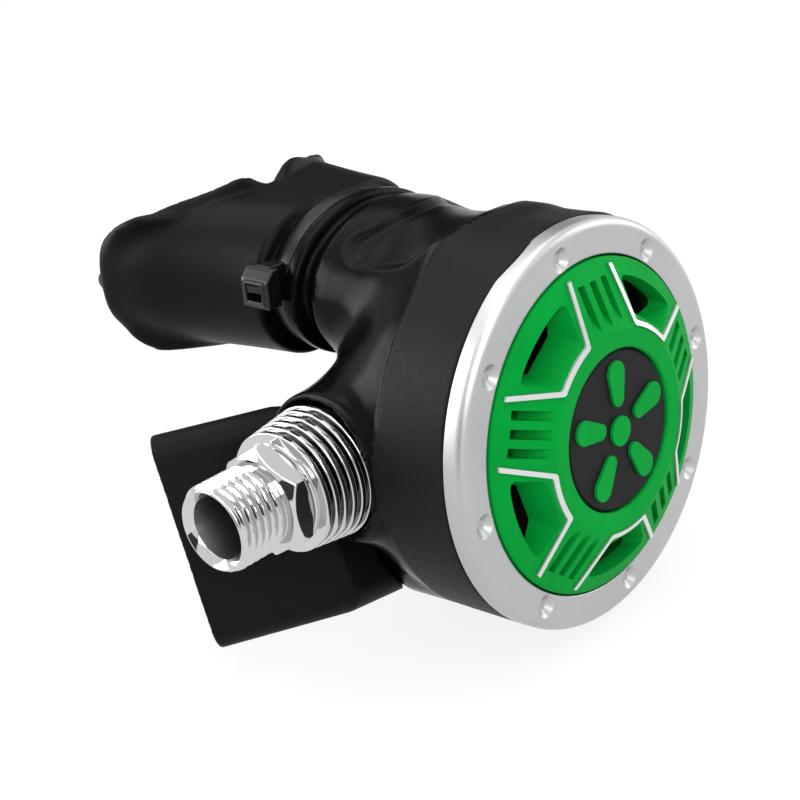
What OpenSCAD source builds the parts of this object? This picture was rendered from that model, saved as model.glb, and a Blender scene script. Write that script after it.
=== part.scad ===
// Scuba second stage: a demand valve with its purge cover, lever valve, exhaust tee and mouthpiece.
// Millimetres. X runs along the valve barrel, Y from the face to the mouthpiece, and Z is up.
// The origin is on the hose thread's axis, at the shoulder of the hexagon where a hose nut stops.

/* [Drum] */
// Outer radius of the drum, at the band and at the face ring
drum_r = 33; // [31:0.5:36]
// Length of the grained band behind the face ring
band_len = 13.2; // [12:0.2:15]
// Taper of the band's radius from front to back
band_taper = 0.3; // [0:0.1:0.6]
// Depth of the glossy bowl behind the band
bowl_depth = 26; // [25:0.5:30]
// Step from the band down to the bowl
bowl_step = 0.6; // [0.3:0.1:1]
// Wall of the moulded case
case_wall = 2.4; // [1.8:0.1:2.8]
// Depth of the shelf that the diaphragm's bead lies on
shelf_depth = 12; // [11.4:0.1:13]
// Inner radius of that shelf
shelf_r = 27; // [26.4:0.1:27.4]

/* [Face ring] */
// Visible radial width of the ring
ring_face_w = 5.8; // [5.2:0.1:6.2]
// Depth of the ring's rim in front of the band
ring_rim = 3.6; // [3:0.1:4.4]
// Radial and axial size of the rounded outer bevel
ring_bevel = 1.6; // [1:0.1:2]
// Thickness of the lip that holds the cover
ring_lip = 2.4; // [2:0.1:3]
// Wall of the threaded skirt
skirt_wall = 1.5; // [1.2:0.1:1.8]
// Length of the threaded skirt behind the rim
skirt_len = 5; // [4:0.2:6]
// Number of spanner dimples
dimple_count = 8; // [4:1:12]
// Radius of a dimple at the face
dimple_r = 1.95; // [1.4:0.05:2.2]
// Depth of a dimple
dimple_depth = 1.5; // [1:0.1:1.8]
// Angle of the first dimple
dimple_angle = 99; // [90:1:134]

/* [Front cover] */
// Gap between the cover and the ring
cover_gap = 0.3; // [0.2:0.05:0.6]
// Width of the flange and skirt under the ring's lip
cover_flange = 2.2; // [1.8:0.1:2.4]
// Wall of the skirt that presses on the diaphragm
cover_skirt = 1.8; // [1.4:0.1:2]
// Height of the cover's edge above the ring's face
edge_proud = 0.5; // [0.2:0.1:1]
// Height of the hub above the ring's face
hub_proud = 4.5; // [4:0.1:5.5]
// Outer radius of the flat hub
hub_r = 16.2; // [15.6:0.1:16.8]
// Depth of the cover's back behind the ring's face
cover_back = 1.4; // [1:0.1:2]
// Number of spokes, and of windows
spoke_count = 5; // [4:1:6]
// Angle of the first spoke
spoke_angle = 88.7; // [80:0.1:100]
// Width of a spoke at the hub
spoke_hub_w = 11.8; // [9:0.1:12]
// Width of a spoke at the rim
spoke_rim_w = 9.5; // [8:0.1:11]
// Grooves in one spoke
groove_count = 3; // [1:1:3]
// Spacing of the grooves
groove_pitch = 2.85; // [2.4:0.05:3]
// Width of a groove
groove_w = 1.5; // [1:0.1:1.7]
// Length of a groove's floor, which rises to the hub
groove_ramp = 4; // [3:0.1:5]
// Length of the open part of a groove
groove_open = 3.2; // [2:0.1:3.6]
// Margin from the outer end of windows and grooves to the cover's edge
rim_margin = 2.6; // [2:0.1:3.4]
// Margin from a trim line to its window
window_margin = 0.6; // [0.3:0.1:1]
// Slope of the window funnels, as the inset at the back
funnel_inset = 1.7; // [1:0.1:2]
// Width of the silver trim lines
trim_w = 0.8; // [0.5:0.1:1.2]
// Height of the silver trim lines
trim_h = 0.35; // [0.2:0.05:0.5]

/* [Purge button] */
// Radius of the button
button_r = 12.9; // [12:0.1:13.2]
// Sliding gap round the button
button_gap = 0.25; // [0.15:0.05:0.4]
// Depth of the button's face behind the hub's face
button_recess = 0.3; // [0:0.1:0.8]
// Wall of the button and of the hub tube round it
button_wall = 1.6; // [1.2:0.1:1.8]
// Travel of the button when it is pressed
purge_travel = 4.5; // [3:0.1:4.8]
// Radius of the button's central pusher
pusher_r = 4.4; // [3:0.1:4.8]
// Height of the raised pads on the button
pad_h = 0.5; // [0.3:0.1:0.8]
// Number of raised pads
pad_count = 5; // [3:1:6]
// Radius of the purge spring's coil
purge_coil_r = 7.6; // [7:0.1:8.4]
// Radius of the purge spring's wire
purge_wire_r = 0.4; // [0.3:0.05:0.5]
// Turns of the purge spring
purge_turns = 5; // [4:0.5:6]

/* [Diaphragm] */
// Thickness of the clamped bead
bead_h = 1.9; // [1.6:0.1:2.2]
// Thickness of the slip washer under the cover's skirt
washer_h = 0.7; // [0.5:0.1:1]
// Thickness of the membrane
membrane_t = 0.7; // [0.5:0.1:1]
// Radius of the stiff centre plate
plate_r = 16.5; // [14:0.1:17.5]
// Thickness of the stiff centre plate
plate_t = 0.8; // [0.6:0.1:1]
// Thickness of the spider that carries the purge spring
spider_t = 1.2; // [1:0.1:1.4]
// Clearance between parts that meet without fastening
rest_gap = 0.3; // [0.2:0.05:0.4]
// Clearance between parts that fit into each other
fit_gap = 0.05; // [0.03:0.01:0.08]

/* [Valve] */
// Depth of the valve barrel's axis behind the face
valve_depth = 30.1; // [29.5:0.1:31]
// Outer radius of the valve barrel
barrel_r = 7.5; // [7:0.1:8]
// Bore radius of the valve barrel
barrel_bore = 6; // [5.6:0.1:6.2]
// Distance from the drum's side back to the end faces of the case's bosses
boss_inset = 2; // [1.6:0.1:2.4]
// Distance from those end faces back to the ends of the barrel
barrel_inset = 4; // [3.6:0.1:5]
// Outer radius of the case's bosses
boss_r = 12.4; // [12:0.1:13]
// Distance from the drum's axis to the lever's feet
foot_x = 11; // [10:0.5:12]
// Radius of the lever's feet
foot_r = 0.9; // [0.7:0.05:1.1]
// Distance from the feet forward to the line that the lever rocks on
lever_heel = 3.1; // [2.8:0.1:3.6]
// Thickness of the lever's steel
lever_t = 0.8; // [0.6:0.1:1]
// Width of the lever's legs
lever_w = 2.6; // [2:0.1:3]
// Turn of the lever at full press, in degrees
lever_swing = 19; // [17:1:20]
// Distance from the barrel forward to the lever's bridge
bridge_gap = 4.5; // [4:0.1:5]
// Sliding gap round the poppet and the spring pad
slide_gap = 0.1; // [0.06:0.02:0.2]
// Radius of the poppet's stem
stem_r = 2.2; // [1.8:0.1:2.4]
// Radius of the seat disc
seat_r = 3.6; // [3:0.1:4]
// Thickness of the seat disc
seat_t = 1.6; // [1.2:0.1:2]
// Radius of the orifice's bore
orifice_bore = 1.9; // [1.5:0.1:2.2]
// Distance from the drum's axis to the orifice's edge
orifice_x = 10.4; // [9.5:0.1:11]
// Radius of the poppet spring's coil
valve_coil_r = 3.7; // [3.4:0.1:4]
// Radius of the poppet spring's wire
valve_wire_r = 0.4; // [0.3:0.05:0.5]
// Turns of the poppet spring
valve_turns = 6; // [4:0.5:8]
// Radius of the adjusting screw
screw_r = 2; // [1.6:0.1:2.4]
// Travel of the spring pad each way from its middle
pad_travel = 1.2; // [0.5:0.1:1.4]

/* [Inlet] */
// Outer radius of the hose thread, 9/16 inch
thread_r = 7.14; // [7:0.01:7.3]
// Length of the hose thread
thread_len = 9.5; // [8:0.5:12]
// Radius of the mouth that takes the hose's nipple
mouth_r = 5; // [4.6:0.1:5.2]
// Depth of that mouth
mouth_depth = 12; // [10:0.5:13]
// Radius of the gas bore behind the mouth
gas_r = 3.2; // [2.4:0.1:3.6]
// Width of the hexagon across its flats
hex_af = 16; // [15:0.5:17]
// Length of the hexagon
hex_len = 4.3; // [4:0.1:6]
// Radius of the fitting's shank inside the fins
shank_r = 5.9; // [5.5:0.05:5.9]
// Number of heat exchanger fins
fin_count = 6; // [4:1:8]
// Spacing of the fins
fin_pitch = 1.7; // [1.6:0.05:1.9]
// Thickness of a fin
fin_t = 0.95; // [0.7:0.05:1.1]
// Radius of the fin next to the hexagon
fin_first_r = 9.9; // [9.2:0.1:10.4]
// Radius of the fin next to the case
fin_last_r = 11; // [10.6:0.1:11.2]
// Radius of the solid core under the fins
fin_core_r = 8.3; // [8:0.1:8.8]

/* [Knob side] */
// Outer radius of the adjusting knob
knob_r = 10.2; // [9:0.1:11]
// Length of the adjusting knob
knob_len = 12; // [10:0.5:14]
// Finger flutes round the knob
flute_count = 10; // [6:1:14]
// Radius of a finger flute
flute_r = 1.9; // [1.2:0.1:2.2]
// Thickness of the gland's flange outside the boss
gland_flange = 2.4; // [2:0.1:3]
// Length of the gland's spigot inside the barrel
gland_spigot = 1.6; // [1.2:0.1:2]
// Radius of the wire of the round seals
seal_wire = 0.5; // [0.4:0.05:0.6]

/* [Mouth neck] */
// Upward tilt of the neck, in degrees
neck_tilt = 2.5; // [1:0.5:5]
// Depth of the neck's base behind the face
neck_y = 20; // [19:0.5:21]
// Height of the neck's base above the drum's axis
neck_z = 19.9; // [19.5:0.1:20.3]
// Width of the oval neck against its height
neck_oval = 1.42; // [1.3:0.02:1.5]
// Half height of the neck before its lip
neck_r = 13.1; // [12.8:0.1:13.6]
// Half height of the neck where it leaves the bowl
neck_base_r = 12.4; // [12:0.1:13]
// Length of the neck up to its lip's back face
neck_len = 26.7; // [26.4:0.1:28]
// Length of the neck's lip
lip_len = 2.6; // [2:0.1:3]
// Height of the lip above the neck
lip_h = 0.4; // [0.3:0.1:1]
// Depth of the waist before the lip
waist = 1; // [0.6:0.1:1.4]
// Length of that waist
waist_len = 6; // [4:0.5:7]
// Half height of the breathing bore
breath_r = 9.2; // [8.6:0.1:9.4]
// Half height of the spigot that carries the mouthpiece
spigot_r = 10.9; // [10.6:0.1:11.2]
// Length of the spigot
spigot_len = 12; // [10:0.5:14]
// Distance along the neck to the vane's spindle
vane_along = 18; // [18:0.5:20]
// Radius of the vane's spindle
spindle_r = 2; // [1.6:0.1:2.2]
// Half width of the flow vane's blade
vane_half_w = 8; // [6:0.5:9]
// Half length of the flow vane's blade
vane_half_len = 5.5; // [4.5:0.5:6.5]
// Thickness of the flow vane's blade
vane_t = 1.2; // [1:0.1:1.6]
// Length of the vane lever's arm
vane_arm = 8; // [6:0.5:8]
// Thickness of the vane lever's arm
vane_arm_t = 2.4; // [2:0.1:3]

/* [Exhaust] */
// Depth of the exhaust port's base behind the face
port_y = 33; // [32:0.2:34]
// Drop of the exhaust port's base below the drum's axis
port_drop = 14.4; // [13.8:0.2:15]
// Downward tilt of the exhaust port, in degrees
port_tilt = 30; // [26:1:34]
// Outer radius of the exhaust port
port_r = 15.6; // [15.2:0.1:16]
// Length of the exhaust port
port_len = 9; // [8:0.5:9.5]
// Radius of the rounded bulge under the port
bulge_r = 17.2; // [16.6:0.1:17.8]
// Drop of that bulge's centre below the drum's axis
bulge_drop = 19.2; // [18.6:0.1:19.8]
// Depth of that bulge's back behind the face
bulge_y = 37.5; // [36:0.5:39]
// Radius of the mushroom valve
valve_r = 12.4; // [11:0.1:12.8]
// Lap of the mushroom valve over its seat
valve_lap = 0.4; // [0.3:0.1:1]
// Room round the mushroom valve
valve_room = 1; // [0.6:0.1:1.4]
// Reach of each tee wing from the drum's axis
tee_reach = 45; // [40:1:48]
// Wall of the tee
tee_wall = 1.7; // [1.4:0.1:2]
// Backward sweep of the wings, in degrees
tee_sweep = 30; // [24:1:34]
// Height of the wings' top edge above the drum's axis
tee_top = 4.8; // [4:0.2:5.2]
// Depth of the wings' bottom edge below the drum's axis
tee_bottom = 31.4; // [30:0.2:32.4]
// Fall of the wings' top from its front edge to its back
tee_fall = 6; // [3:0.5:8]
// Thickness of the wings from front to back
tee_thick = 15; // [12:0.5:17]
// Slant of the wings' open ends, as the run inwards for each unit backwards
tee_slant = 1.1; // [0.6:0.05:1.2]
// Forward lean of the wings' lower edge
tee_lean = 8.4; // [6:0.2:10]
// Depth of the wings' root behind the face
tee_front = 29.6; // [29:0.2:31]
// Reach of the swollen root of the wings
tee_root = 24; // [22:0.5:26]
// Step back of the front edge at the root
tee_step = 3.4; // [3:0.2:4]
// Extra thickness of the root
tee_swell = 7; // [6:0.5:8]
// Rounding of the wings' edges
tee_round = 4; // [3.4:0.1:4.6]

/* [Mouthpiece] */
// Wall of the mouthpiece's tube
mouth_wall = 2.2; // [2:0.1:2.4]
// Half width of the mouthpiece's shield
shield_half_w = 27.5; // [25:0.5:30]
// Half height of the mouthpiece's shield
shield_half_h = 13; // [11:0.5:14]
// Length of the mouthpiece from the lip to the shield's swept ends
shield_len = 36.7; // [35:0.5:38]
// Length of the mouthpiece from the lip to the ends of the bite tabs
bite_len = 44.7; // [44:0.5:48]
// Half height of a bite tab's ridge
tab_half_h = 6; // [5:0.5:7]
// Width of a bite tab
tab_w = 10; // [8:0.5:11]
// Thickness of a bite tab
tab_t = 4; // [3:0.2:5]
// Width of the cable tie
tie_w = 3.2; // [2.6:0.1:3.6]
// Thickness of the cable tie's strap
tie_t = 1.3; // [1:0.1:1.6]
// Place of the cable tie's head round the oval, in degrees above the side
tie_angle = 15.5; // [0:0.5:30]
// Height of the cable tie's head above its strap
head_h = 5.2; // [4:0.2:6]
// Height of the head's foot, as wide as the strap, between the lip and the mouthpiece's body
head_foot = 2.6; // [2.4:0.1:3]
// Length of the cable tie's head along its strap
head_len = 6; // [5:0.2:7]
// Margin of the cable tie's head beside its strap
head_margin = 1.3; // [1:0.1:1.6]

/* [Hidden] */
$fn = 64;
// Overshoot of a cut past the face that it opens
cut = 1;
// Thickness of a station in a chain of hulls
slice = 0.1;

// Radii of the face, from the drum inwards
ring_in_r = drum_r - ring_face_w;
cover_r = ring_in_r - cover_gap;
flange_r = ring_in_r + cover_flange;
skirt_in_r = flange_r + fit_gap;
skirt_out_r = skirt_in_r + skirt_wall;
recess_r = skirt_out_r + fit_gap;
cover_in_r = flange_r - cover_skirt;
guide_r = button_r + button_gap;

// Depths behind the ring's face
band_end = ring_rim + band_len;
washer_y = shelf_depth - bead_h - washer_h;
spider_y = washer_y - spider_t - rest_gap;
plate_y = washer_y + rest_gap;
membrane_y = plate_y + plate_t;
lever_tip_y = membrane_y + membrane_t + rest_gap;
button_y = button_recess - hub_proud;
rim_y = cover_back + rest_gap;
rim_t = spider_y - rest_gap - purge_travel - rim_y;
window_r0 = hub_r + 0.4 + trim_w + window_margin;
window_r1 = cover_r - rim_margin;
bowl_r = drum_r - band_taper - bowl_step;

// Ends of the bosses and of the barrel
boss_half = drum_r - boss_inset;
barrel_half = boss_half - barrel_inset;
flange_out_r = boss_r - 2;

// Valve train, from the feet outwards
heel_y = valve_depth - lever_heel;
leg_z = barrel_r + rest_gap;
heel_r = lever_w / 2 + 0.1;
stalk_r = 1;
nut_x = foot_x + foot_r + rest_gap;
nut_len = 2;
nut_r = 4.2;
poppet_tail = foot_x - foot_r - rest_gap - 3;
crown_len = 1.8;
poppet_r = barrel_bore - slide_gap;
seat_proud = 0.4;
spring_x = nut_x + nut_len;
pad_len = 2.6;
pad_x = barrel_half - gland_spigot - pad_travel - rest_gap - pad_len;
gland_end = boss_half + gland_flange;
knob_x = gland_end + rest_gap;
orifice_len = 9.6;
pocket_depth = 1.4;
seal_x = (barrel_half + boss_half - pocket_depth) / 2;
fins_len = fin_count * fin_pitch;
fins_x = boss_half + 0.6;
inlet_reach = fins_x + fins_len + hex_len;
hex_r = hex_af / 2 / cos(30);
shank_end = orifice_x + orifice_len + rest_gap;
pocket_r = fin_last_r + rest_gap;

// Mouthpiece along the neck
mouth_in_r = spigot_r + fit_gap;
mouth_out_r = mouth_in_r + mouth_wall;
neck_side = (neck_r + lip_h) * neck_oval;
tie_at = neck_len + 0.5;
tie_in_r = mouth_out_r - tie_t;

// Points of an arc, for profiles
function arc(c, r, a0, a1, n = 8) = [for (i = [0:n]) let (a = a0 + (a1 - a0) * i / n) c + r * [cos(a), sin(a)]];
// Points of an elliptical quarter from the rim of a bowl towards its back
function bowl_arc(r, y0, depth, a1, n = 14) = [for (i = [0:n]) let (a = a1 * i / n) [r * cos(a), y0 + depth * sin(a)]];
// Height of the cover's surface at a radius
function dome_y(r) = r <= hub_r ? -hub_proud
    : -hub_proud + (hub_proud - edge_proud) * (r - hub_r) / (cover_r - hub_r);

// The drum's frame: Y is its axis and Y = 0 is the ring's face
module at_drum() translate([inlet_reach, -valve_depth, 0]) children();
// A revolve about the Y axis, with profiles of radius and depth
module about_y() rotate([-90, 0, 0]) rotate_extrude($fn = 96) children();
// A cylinder along Y
module rod_y(r, y0, y1) translate([0, y0, 0]) rotate([-90, 0, 0]) cylinder(r = r, h = y1 - y0);
// A cylinder along X on the barrel's axis
module rod_x(r, x0, x1) translate([x0, valve_depth, 0]) rotate([0, 90, 0]) cylinder(r = r, h = x1 - x0);
// A flat outline of the face, drawn in X and Z, extruded from one depth to another
module face_plate(y0, y1) translate([0, y1, 0]) rotate([90, 0, 0]) linear_extrude(y1 - y0) children();
// Children turned about the Y axis by a face angle
module face_turn(a) rotate([0, -a, 0]) children();
// The neck's frame in the row's frame
module at_neck() at_drum() on_neck() children();
// The exhaust port's frame: Y runs out of the port
module at_port() translate([0, port_y, -port_drop]) rotate([-port_tilt, 0, 0]) children();

// A closed coil of round wire along Z
module coil(r, wire_r, len, turns, sides = 8, per_turn = 16) {
    rings = ceil(turns * per_turn);
    rise = len - 2 * wire_r;
    points = [for (i = [0:rings]) for (k = [0:sides - 1])
        let (a = i * 360 / per_turn, t = k * 360 / sides, q = r + wire_r * cos(t))
        [q * cos(a), q * sin(a), wire_r + rise * i / rings + wire_r * sin(t)]];
    walls = [for (i = [0:rings - 1]) for (k = [0:sides - 1])
        let (a = i * sides + k, b = i * sides + (k + 1) % sides)
        [a, b, b + sides, a + sides]];
    polyhedron(concat(points), concat(walls, [[for (k = [sides - 1:-1:0]) k]],
        [[for (k = [0:sides - 1]) rings * sides + k]]));
}

// ---- Case ----

// The outside of the bowl and its ports; grow makes room for a neighbour
module case_outside(grow = 0) {
    about_y() polygon(concat([[0, band_end - 2]], [[bowl_r + grow, band_end - 2]],
        bowl_arc(bowl_r + grow, band_end, bowl_depth + grow, 84), [[0, band_end + bowl_depth + grow]]));
    rod_x(boss_r + grow, -boss_half - grow, boss_half + grow);
    at_port() rod_y(port_r + grow, -8, port_len);
    // The bulge under the port runs up into the foot of the band
    hull() {
        translate([0, 0, -bulge_drop]) rod_y(bulge_r - 1.2 + grow, bulge_y - 4, bulge_y + grow, $fn = 48);
        translate([0, 0, -bulge_drop]) rod_y(bulge_r + grow, bulge_y - 4, bulge_y - 1.2 + grow, $fn = 48);
        translate([0, 0, -drum_r / 2]) rod_y(drum_r / 2 - 0.6 + grow, band_end, band_end + 2, $fn = 48);
    }
}
// Children of the neck's frame widened to its oval
module oval() scale([neck_oval, 1, 1]) children();
// The neck's frame inside the drum's frame: Y runs along the neck
module on_neck() translate([0, neck_y, neck_z]) rotate([neck_tilt, 0, 0]) children();
// The neck's outside, with the waist before its lip
module neck_outside() {
    lip_y = neck_len - lip_len;
    oval() about_y() polygon([[0, -4], [neck_base_r - 0.4, -4], [neck_base_r, 3], [neck_r, lip_y - waist_len],
        [neck_r - waist, lip_y - waist_len / 2], [neck_r - waist, lip_y - 0.6], [neck_r + lip_h, lip_y],
        [neck_r + lip_h, neck_len - 0.5], [neck_r + lip_h - 0.5, neck_len], [spigot_r, neck_len],
        [spigot_r, neck_len + spigot_len - 0.8], [spigot_r - 0.8, neck_len + spigot_len], [0, neck_len + spigot_len]]);
}
module band_profile() polygon([[shelf_r, shelf_depth], [recess_r, shelf_depth], [recess_r, ring_rim],
    [drum_r - 0.3, ring_rim], [drum_r, ring_rim + 0.3], [drum_r - band_taper, band_end - 0.4],
    [drum_r - band_taper - 0.4, band_end], [shelf_r, band_end]]);
module case_inside() {
    in_r = bowl_r - case_wall;
    about_y() polygon(concat([[0, shelf_depth - cut], [shelf_r, shelf_depth - cut], [shelf_r, band_end]],
        [for (p = bowl_arc(in_r, band_end, bowl_depth - case_wall, 84)) if (p[0] < shelf_r - 0.2) p],
        [[0, band_end + bowl_depth - case_wall]]));
}
module case() color("black") at_drum() difference() {
    union() {
        about_y() band_profile();
        difference() {
            union() {
                case_outside();
                on_neck() neck_outside();
            }
            case_inside();
        }
        // Sockets that hold the ends of the barrel
        for (side = [-1, 1]) intersection() {
            rod_x(barrel_r + case_wall, side > 0 ? barrel_half - 6 : -boss_half, side > 0 ? boss_half : 6 - barrel_half);
            rod_y(drum_r - case_wall, band_end, band_end + bowl_depth);
        }
    }
    rod_x(barrel_r + fit_gap, -boss_half - cut, boss_half + cut);
    rod_x(pocket_r, -drum_r - cut, -boss_half + pocket_depth);
    rod_x(flange_out_r + rest_gap, boss_half, drum_r + cut);
    on_neck() {
        oval() rod_y(breath_r, 0, neck_len + spigot_len + cut);
        translate([0, vane_along, 0]) rotate([0, 90, 0]) cylinder(r = spindle_r + fit_gap, h = neck_side + cut);
    }
    at_port() {
        rod_y(valve_r - valve_lap, -14, port_len + cut);
        rod_y(valve_r + valve_room, port_len, port_len + port_r);
    }
}

// ---- Face ----

module face_ring() color("silver") at_drum() difference() {
    about_y() polygon(concat([[ring_in_r, 0.3], [ring_in_r + 0.3, 0]],
        arc([drum_r - ring_bevel, ring_bevel], ring_bevel, -90, 0),
        [[drum_r, ring_rim], [skirt_out_r, ring_rim], [skirt_out_r, ring_rim + skirt_len],
         [skirt_in_r, ring_rim + skirt_len], [skirt_in_r, ring_lip], [ring_in_r, ring_lip]]));
    for (i = [0:dimple_count - 1]) face_turn(dimple_angle - i * 360 / dimple_count)
        translate([(ring_in_r + drum_r - ring_bevel) / 2, -0.01, 0]) rotate([-90, 0, 0])
            cylinder(r1 = dimple_r, r2 = dimple_r / 2, h = dimple_depth);
}

// The strip that one spoke covers, widened by a margin, along +X
module spoke_strip(margin) {
    hub_u = sqrt(hub_r * hub_r - spoke_hub_w * spoke_hub_w / 4);
    rim_u = sqrt(cover_r * cover_r - spoke_rim_w * spoke_rim_w / 4);
    slope = (spoke_rim_w - spoke_hub_w) / 2 / (rim_u - hub_u);
    far = cover_r + 4;
    v0 = spoke_hub_w / 2 - slope * hub_u + margin;
    v1 = v0 + slope * far;
    polygon([[0, -v0], [far, -v1], [far, v1], [0, v0]]);
}
// One window's outline between its two spokes, centred on +X
module window_sector(r0, r1, margin, round_r = 0.8) {
    half = 180 / spoke_count;
    offset(r = round_r) offset(delta = -round_r) intersection() {
        difference() {
            circle(r = r1, $fn = 96);
            circle(r = r0, $fn = 96);
            for (side = [-1, 1]) rotate(side * half) spoke_strip(margin);
        }
        polygon([[0, 0], (cover_r + 6) * [cos(half), -sin(half)], [cover_r + 9, 0], (cover_r + 6) * [cos(half), sin(half)]]);
    }
}
module window_angles() for (i = [0:spoke_count - 1]) rotate(spoke_angle + (i + 0.5) * 360 / spoke_count) children();

module cover_grooves() {
    r1 = cover_r - rim_margin - 0.2;
    r_open = r1 - groove_open;
    r0 = r_open - groove_ramp;
    for (i = [0:spoke_count - 1]) face_turn(spoke_angle + i * 360 / spoke_count)
        for (k = [0:groove_count - 1])
            translate([0, 0, (k - (groove_count - 1) / 2) * groove_pitch - groove_w / 2])
                linear_extrude(groove_w) polygon([[r1, -hub_proud - cut], [r1, cover_back + cut],
                    [r_open, cover_back + cut], [r_open, dome_y(r_open) + 2.6], [r0, dome_y(r0)],
                    [r0 - 0.5, -hub_proud - cut]]);
}
module front_cover() color("limegreen") at_drum() difference() {
    about_y() polygon([[guide_r, -hub_proud + 0.3], [guide_r + 0.3, -hub_proud], [hub_r, -hub_proud],
        [cover_r - 0.4, -edge_proud], [cover_r, 0.4 - edge_proud], [cover_r, ring_lip], [flange_r, ring_lip],
        [flange_r, washer_y], [cover_in_r, washer_y], [cover_in_r, ring_lip + cover_skirt],
        [cover_r - cover_skirt, ring_lip + cover_skirt], [cover_r - cover_skirt, cover_back], [guide_r, cover_back]]);
    for (i = [0:spoke_count - 1]) face_turn(spoke_angle + (i + 0.5) * 360 / spoke_count) hull() {
        face_plate(-hub_proud - cut, 0.02 - hub_proud - cut)
            window_sector(window_r0, window_r1 + 0.6, trim_w);
        face_plate(cover_back + cut, cover_back + cut + 0.02)
            window_sector(window_r0 + funnel_inset, window_r1 - funnel_inset / 2, trim_w + window_margin + funnel_inset);
    }
    cover_grooves();
}
module window_trim() color("gainsboro") at_drum() intersection() {
    about_y() polygon([[hub_r, dome_y(hub_r)], [cover_r - 0.6, dome_y(cover_r - 0.6)],
        [cover_r - 0.6, dome_y(cover_r - 0.6) - trim_h], [hub_r, dome_y(hub_r) - trim_h]]);
    face_plate(-hub_proud - cut, 1) difference() {
        window_angles() window_sector(hub_r + 0.4, cover_r + 2, 0);
        window_angles() window_sector(hub_r + 0.4 + trim_w, cover_r + 4, trim_w);
        difference() {
            circle(r = cover_r + 9);
            circle(r = cover_r - 0.9, $fn = 96);
        }
    }
}
module purge_button() color("black") at_drum() {
    about_y() polygon([[0, button_y], [button_r - 0.4, button_y], [button_r, button_y + 0.4],
        [button_r, rim_y], [button_r + 1.1, rim_y], [button_r + 1.1, rim_y + rim_t],
        [button_r - button_wall, rim_y + rim_t], [button_r - button_wall, button_y + button_wall],
        [pusher_r, button_y + button_wall], [pusher_r, plate_y - rest_gap], [0, plate_y - rest_gap]]);
}
module button_pads() color("limegreen") at_drum() face_plate(button_y - pad_h, button_y) {
    circle(r = 2.4);
    for (i = [0:pad_count - 1]) rotate(spoke_angle + i * 360 / pad_count) hull() {
        translate([button_r * 0.42, 0]) circle(r = 1.3);
        translate([button_r * 0.74, 0]) circle(r = 2);
    }
}
module purge_spring() color("lightgray") at_drum() {
    seat = button_y + button_wall + rest_gap;
    translate([0, seat, 0]) rotate([-90, 0, 0])
        coil(purge_coil_r, purge_wire_r, spider_y - rest_gap - seat, purge_turns);
}
module purge_spider() color("dimgray") at_drum() face_plate(spider_y, spider_y + spider_t) {
    hub_out = purge_coil_r + 1.6;
    rim_out = cover_in_r - fit_gap;
    difference() {
        circle(r = hub_out);
        circle(r = pusher_r + 0.6);
    }
    difference() {
        circle(r = rim_out);
        circle(r = rim_out - 2.6);
    }
    for (i = [0:spoke_count - 1]) rotate(spoke_angle + i * 360 / spoke_count)
        translate([hub_out - 0.5, -1.5]) square([rim_out - 2 - hub_out, 3]);
}
module diaphragm() color("dimgray") at_drum() {
    y0 = membrane_y;
    y1 = membrane_y + membrane_t;
    roll = 1;
    about_y() polygon([[0, y0], [plate_r + 1.2, y0], [plate_r + 3, y0 - roll], [plate_r + 5, y0 - roll],
        [shelf_r - 1, y0 + 0.2], [shelf_r + fit_gap, y0 + 0.2], [shelf_r + fit_gap, shelf_depth - bead_h],
        [flange_r, shelf_depth - bead_h], [flange_r, shelf_depth], [shelf_r + fit_gap, shelf_depth],
        [shelf_r + fit_gap - 1, y1 + 0.2], [plate_r + 5, y1 - roll], [plate_r + 3, y1 - roll],
        [plate_r + 1.2, y1], [0, y1]]);
}
module diaphragm_plate() color("silver") at_drum()
    about_y() polygon([[0, plate_y], [plate_r, plate_y], [plate_r, membrane_y], [0, membrane_y]]);
module diaphragm_washer() color("white") at_drum()
    about_y() polygon([[cover_in_r - 0.4, washer_y], [flange_r, washer_y],
        [flange_r, washer_y + washer_h], [cover_in_r - 0.4, washer_y + washer_h]]);

// ---- Valve ----

// Lever: a tongue that meets the diaphragm, a bridge, and two legs whose feet pull the poppet
module demand_lever() color("lightsteelblue") at_drum() {
    tip = [-1, lever_tip_y + 1];
    bridge_y = valve_depth - barrel_r - bridge_gap;
    bridge = [foot_x - 6, bridge_y];
    heel = [foot_x, heel_y];
    foot = [foot_x, valve_depth];
    for (side = [-1, 1]) {
        translate([0, 0, side > 0 ? leg_z : -leg_z - lever_t]) linear_extrude(lever_t) {
            hull() {
                translate(bridge) circle(d = lever_w);
                translate(heel) circle(d = lever_w);
            }
            hull() {
                translate(heel) circle(d = lever_w);
                translate(foot) circle(d = lever_w);
            }
        }
        // The round heel that rocks on the barrel
        translate([heel[0], heel[1], side > 0 ? leg_z : -leg_z - lever_t]) cylinder(r = heel_r, h = lever_t);
        translate([foot[0], foot[1], side > 0 ? stem_r + rest_gap : -leg_z - lever_t / 2])
            cylinder(r = foot_r, h = leg_z + lever_t / 2 - stem_r - rest_gap);
    }
    translate([bridge[0], bridge[1], -leg_z - lever_t / 2])
        cylinder(r = lever_w / 2 - 0.2, h = 2 * leg_z + lever_t);
    translate([0, 0, -lever_w]) linear_extrude(2 * lever_w) hull() {
        translate(bridge) circle(d = lever_t);
        translate(tip) circle(r = 1);
    }
}
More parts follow.
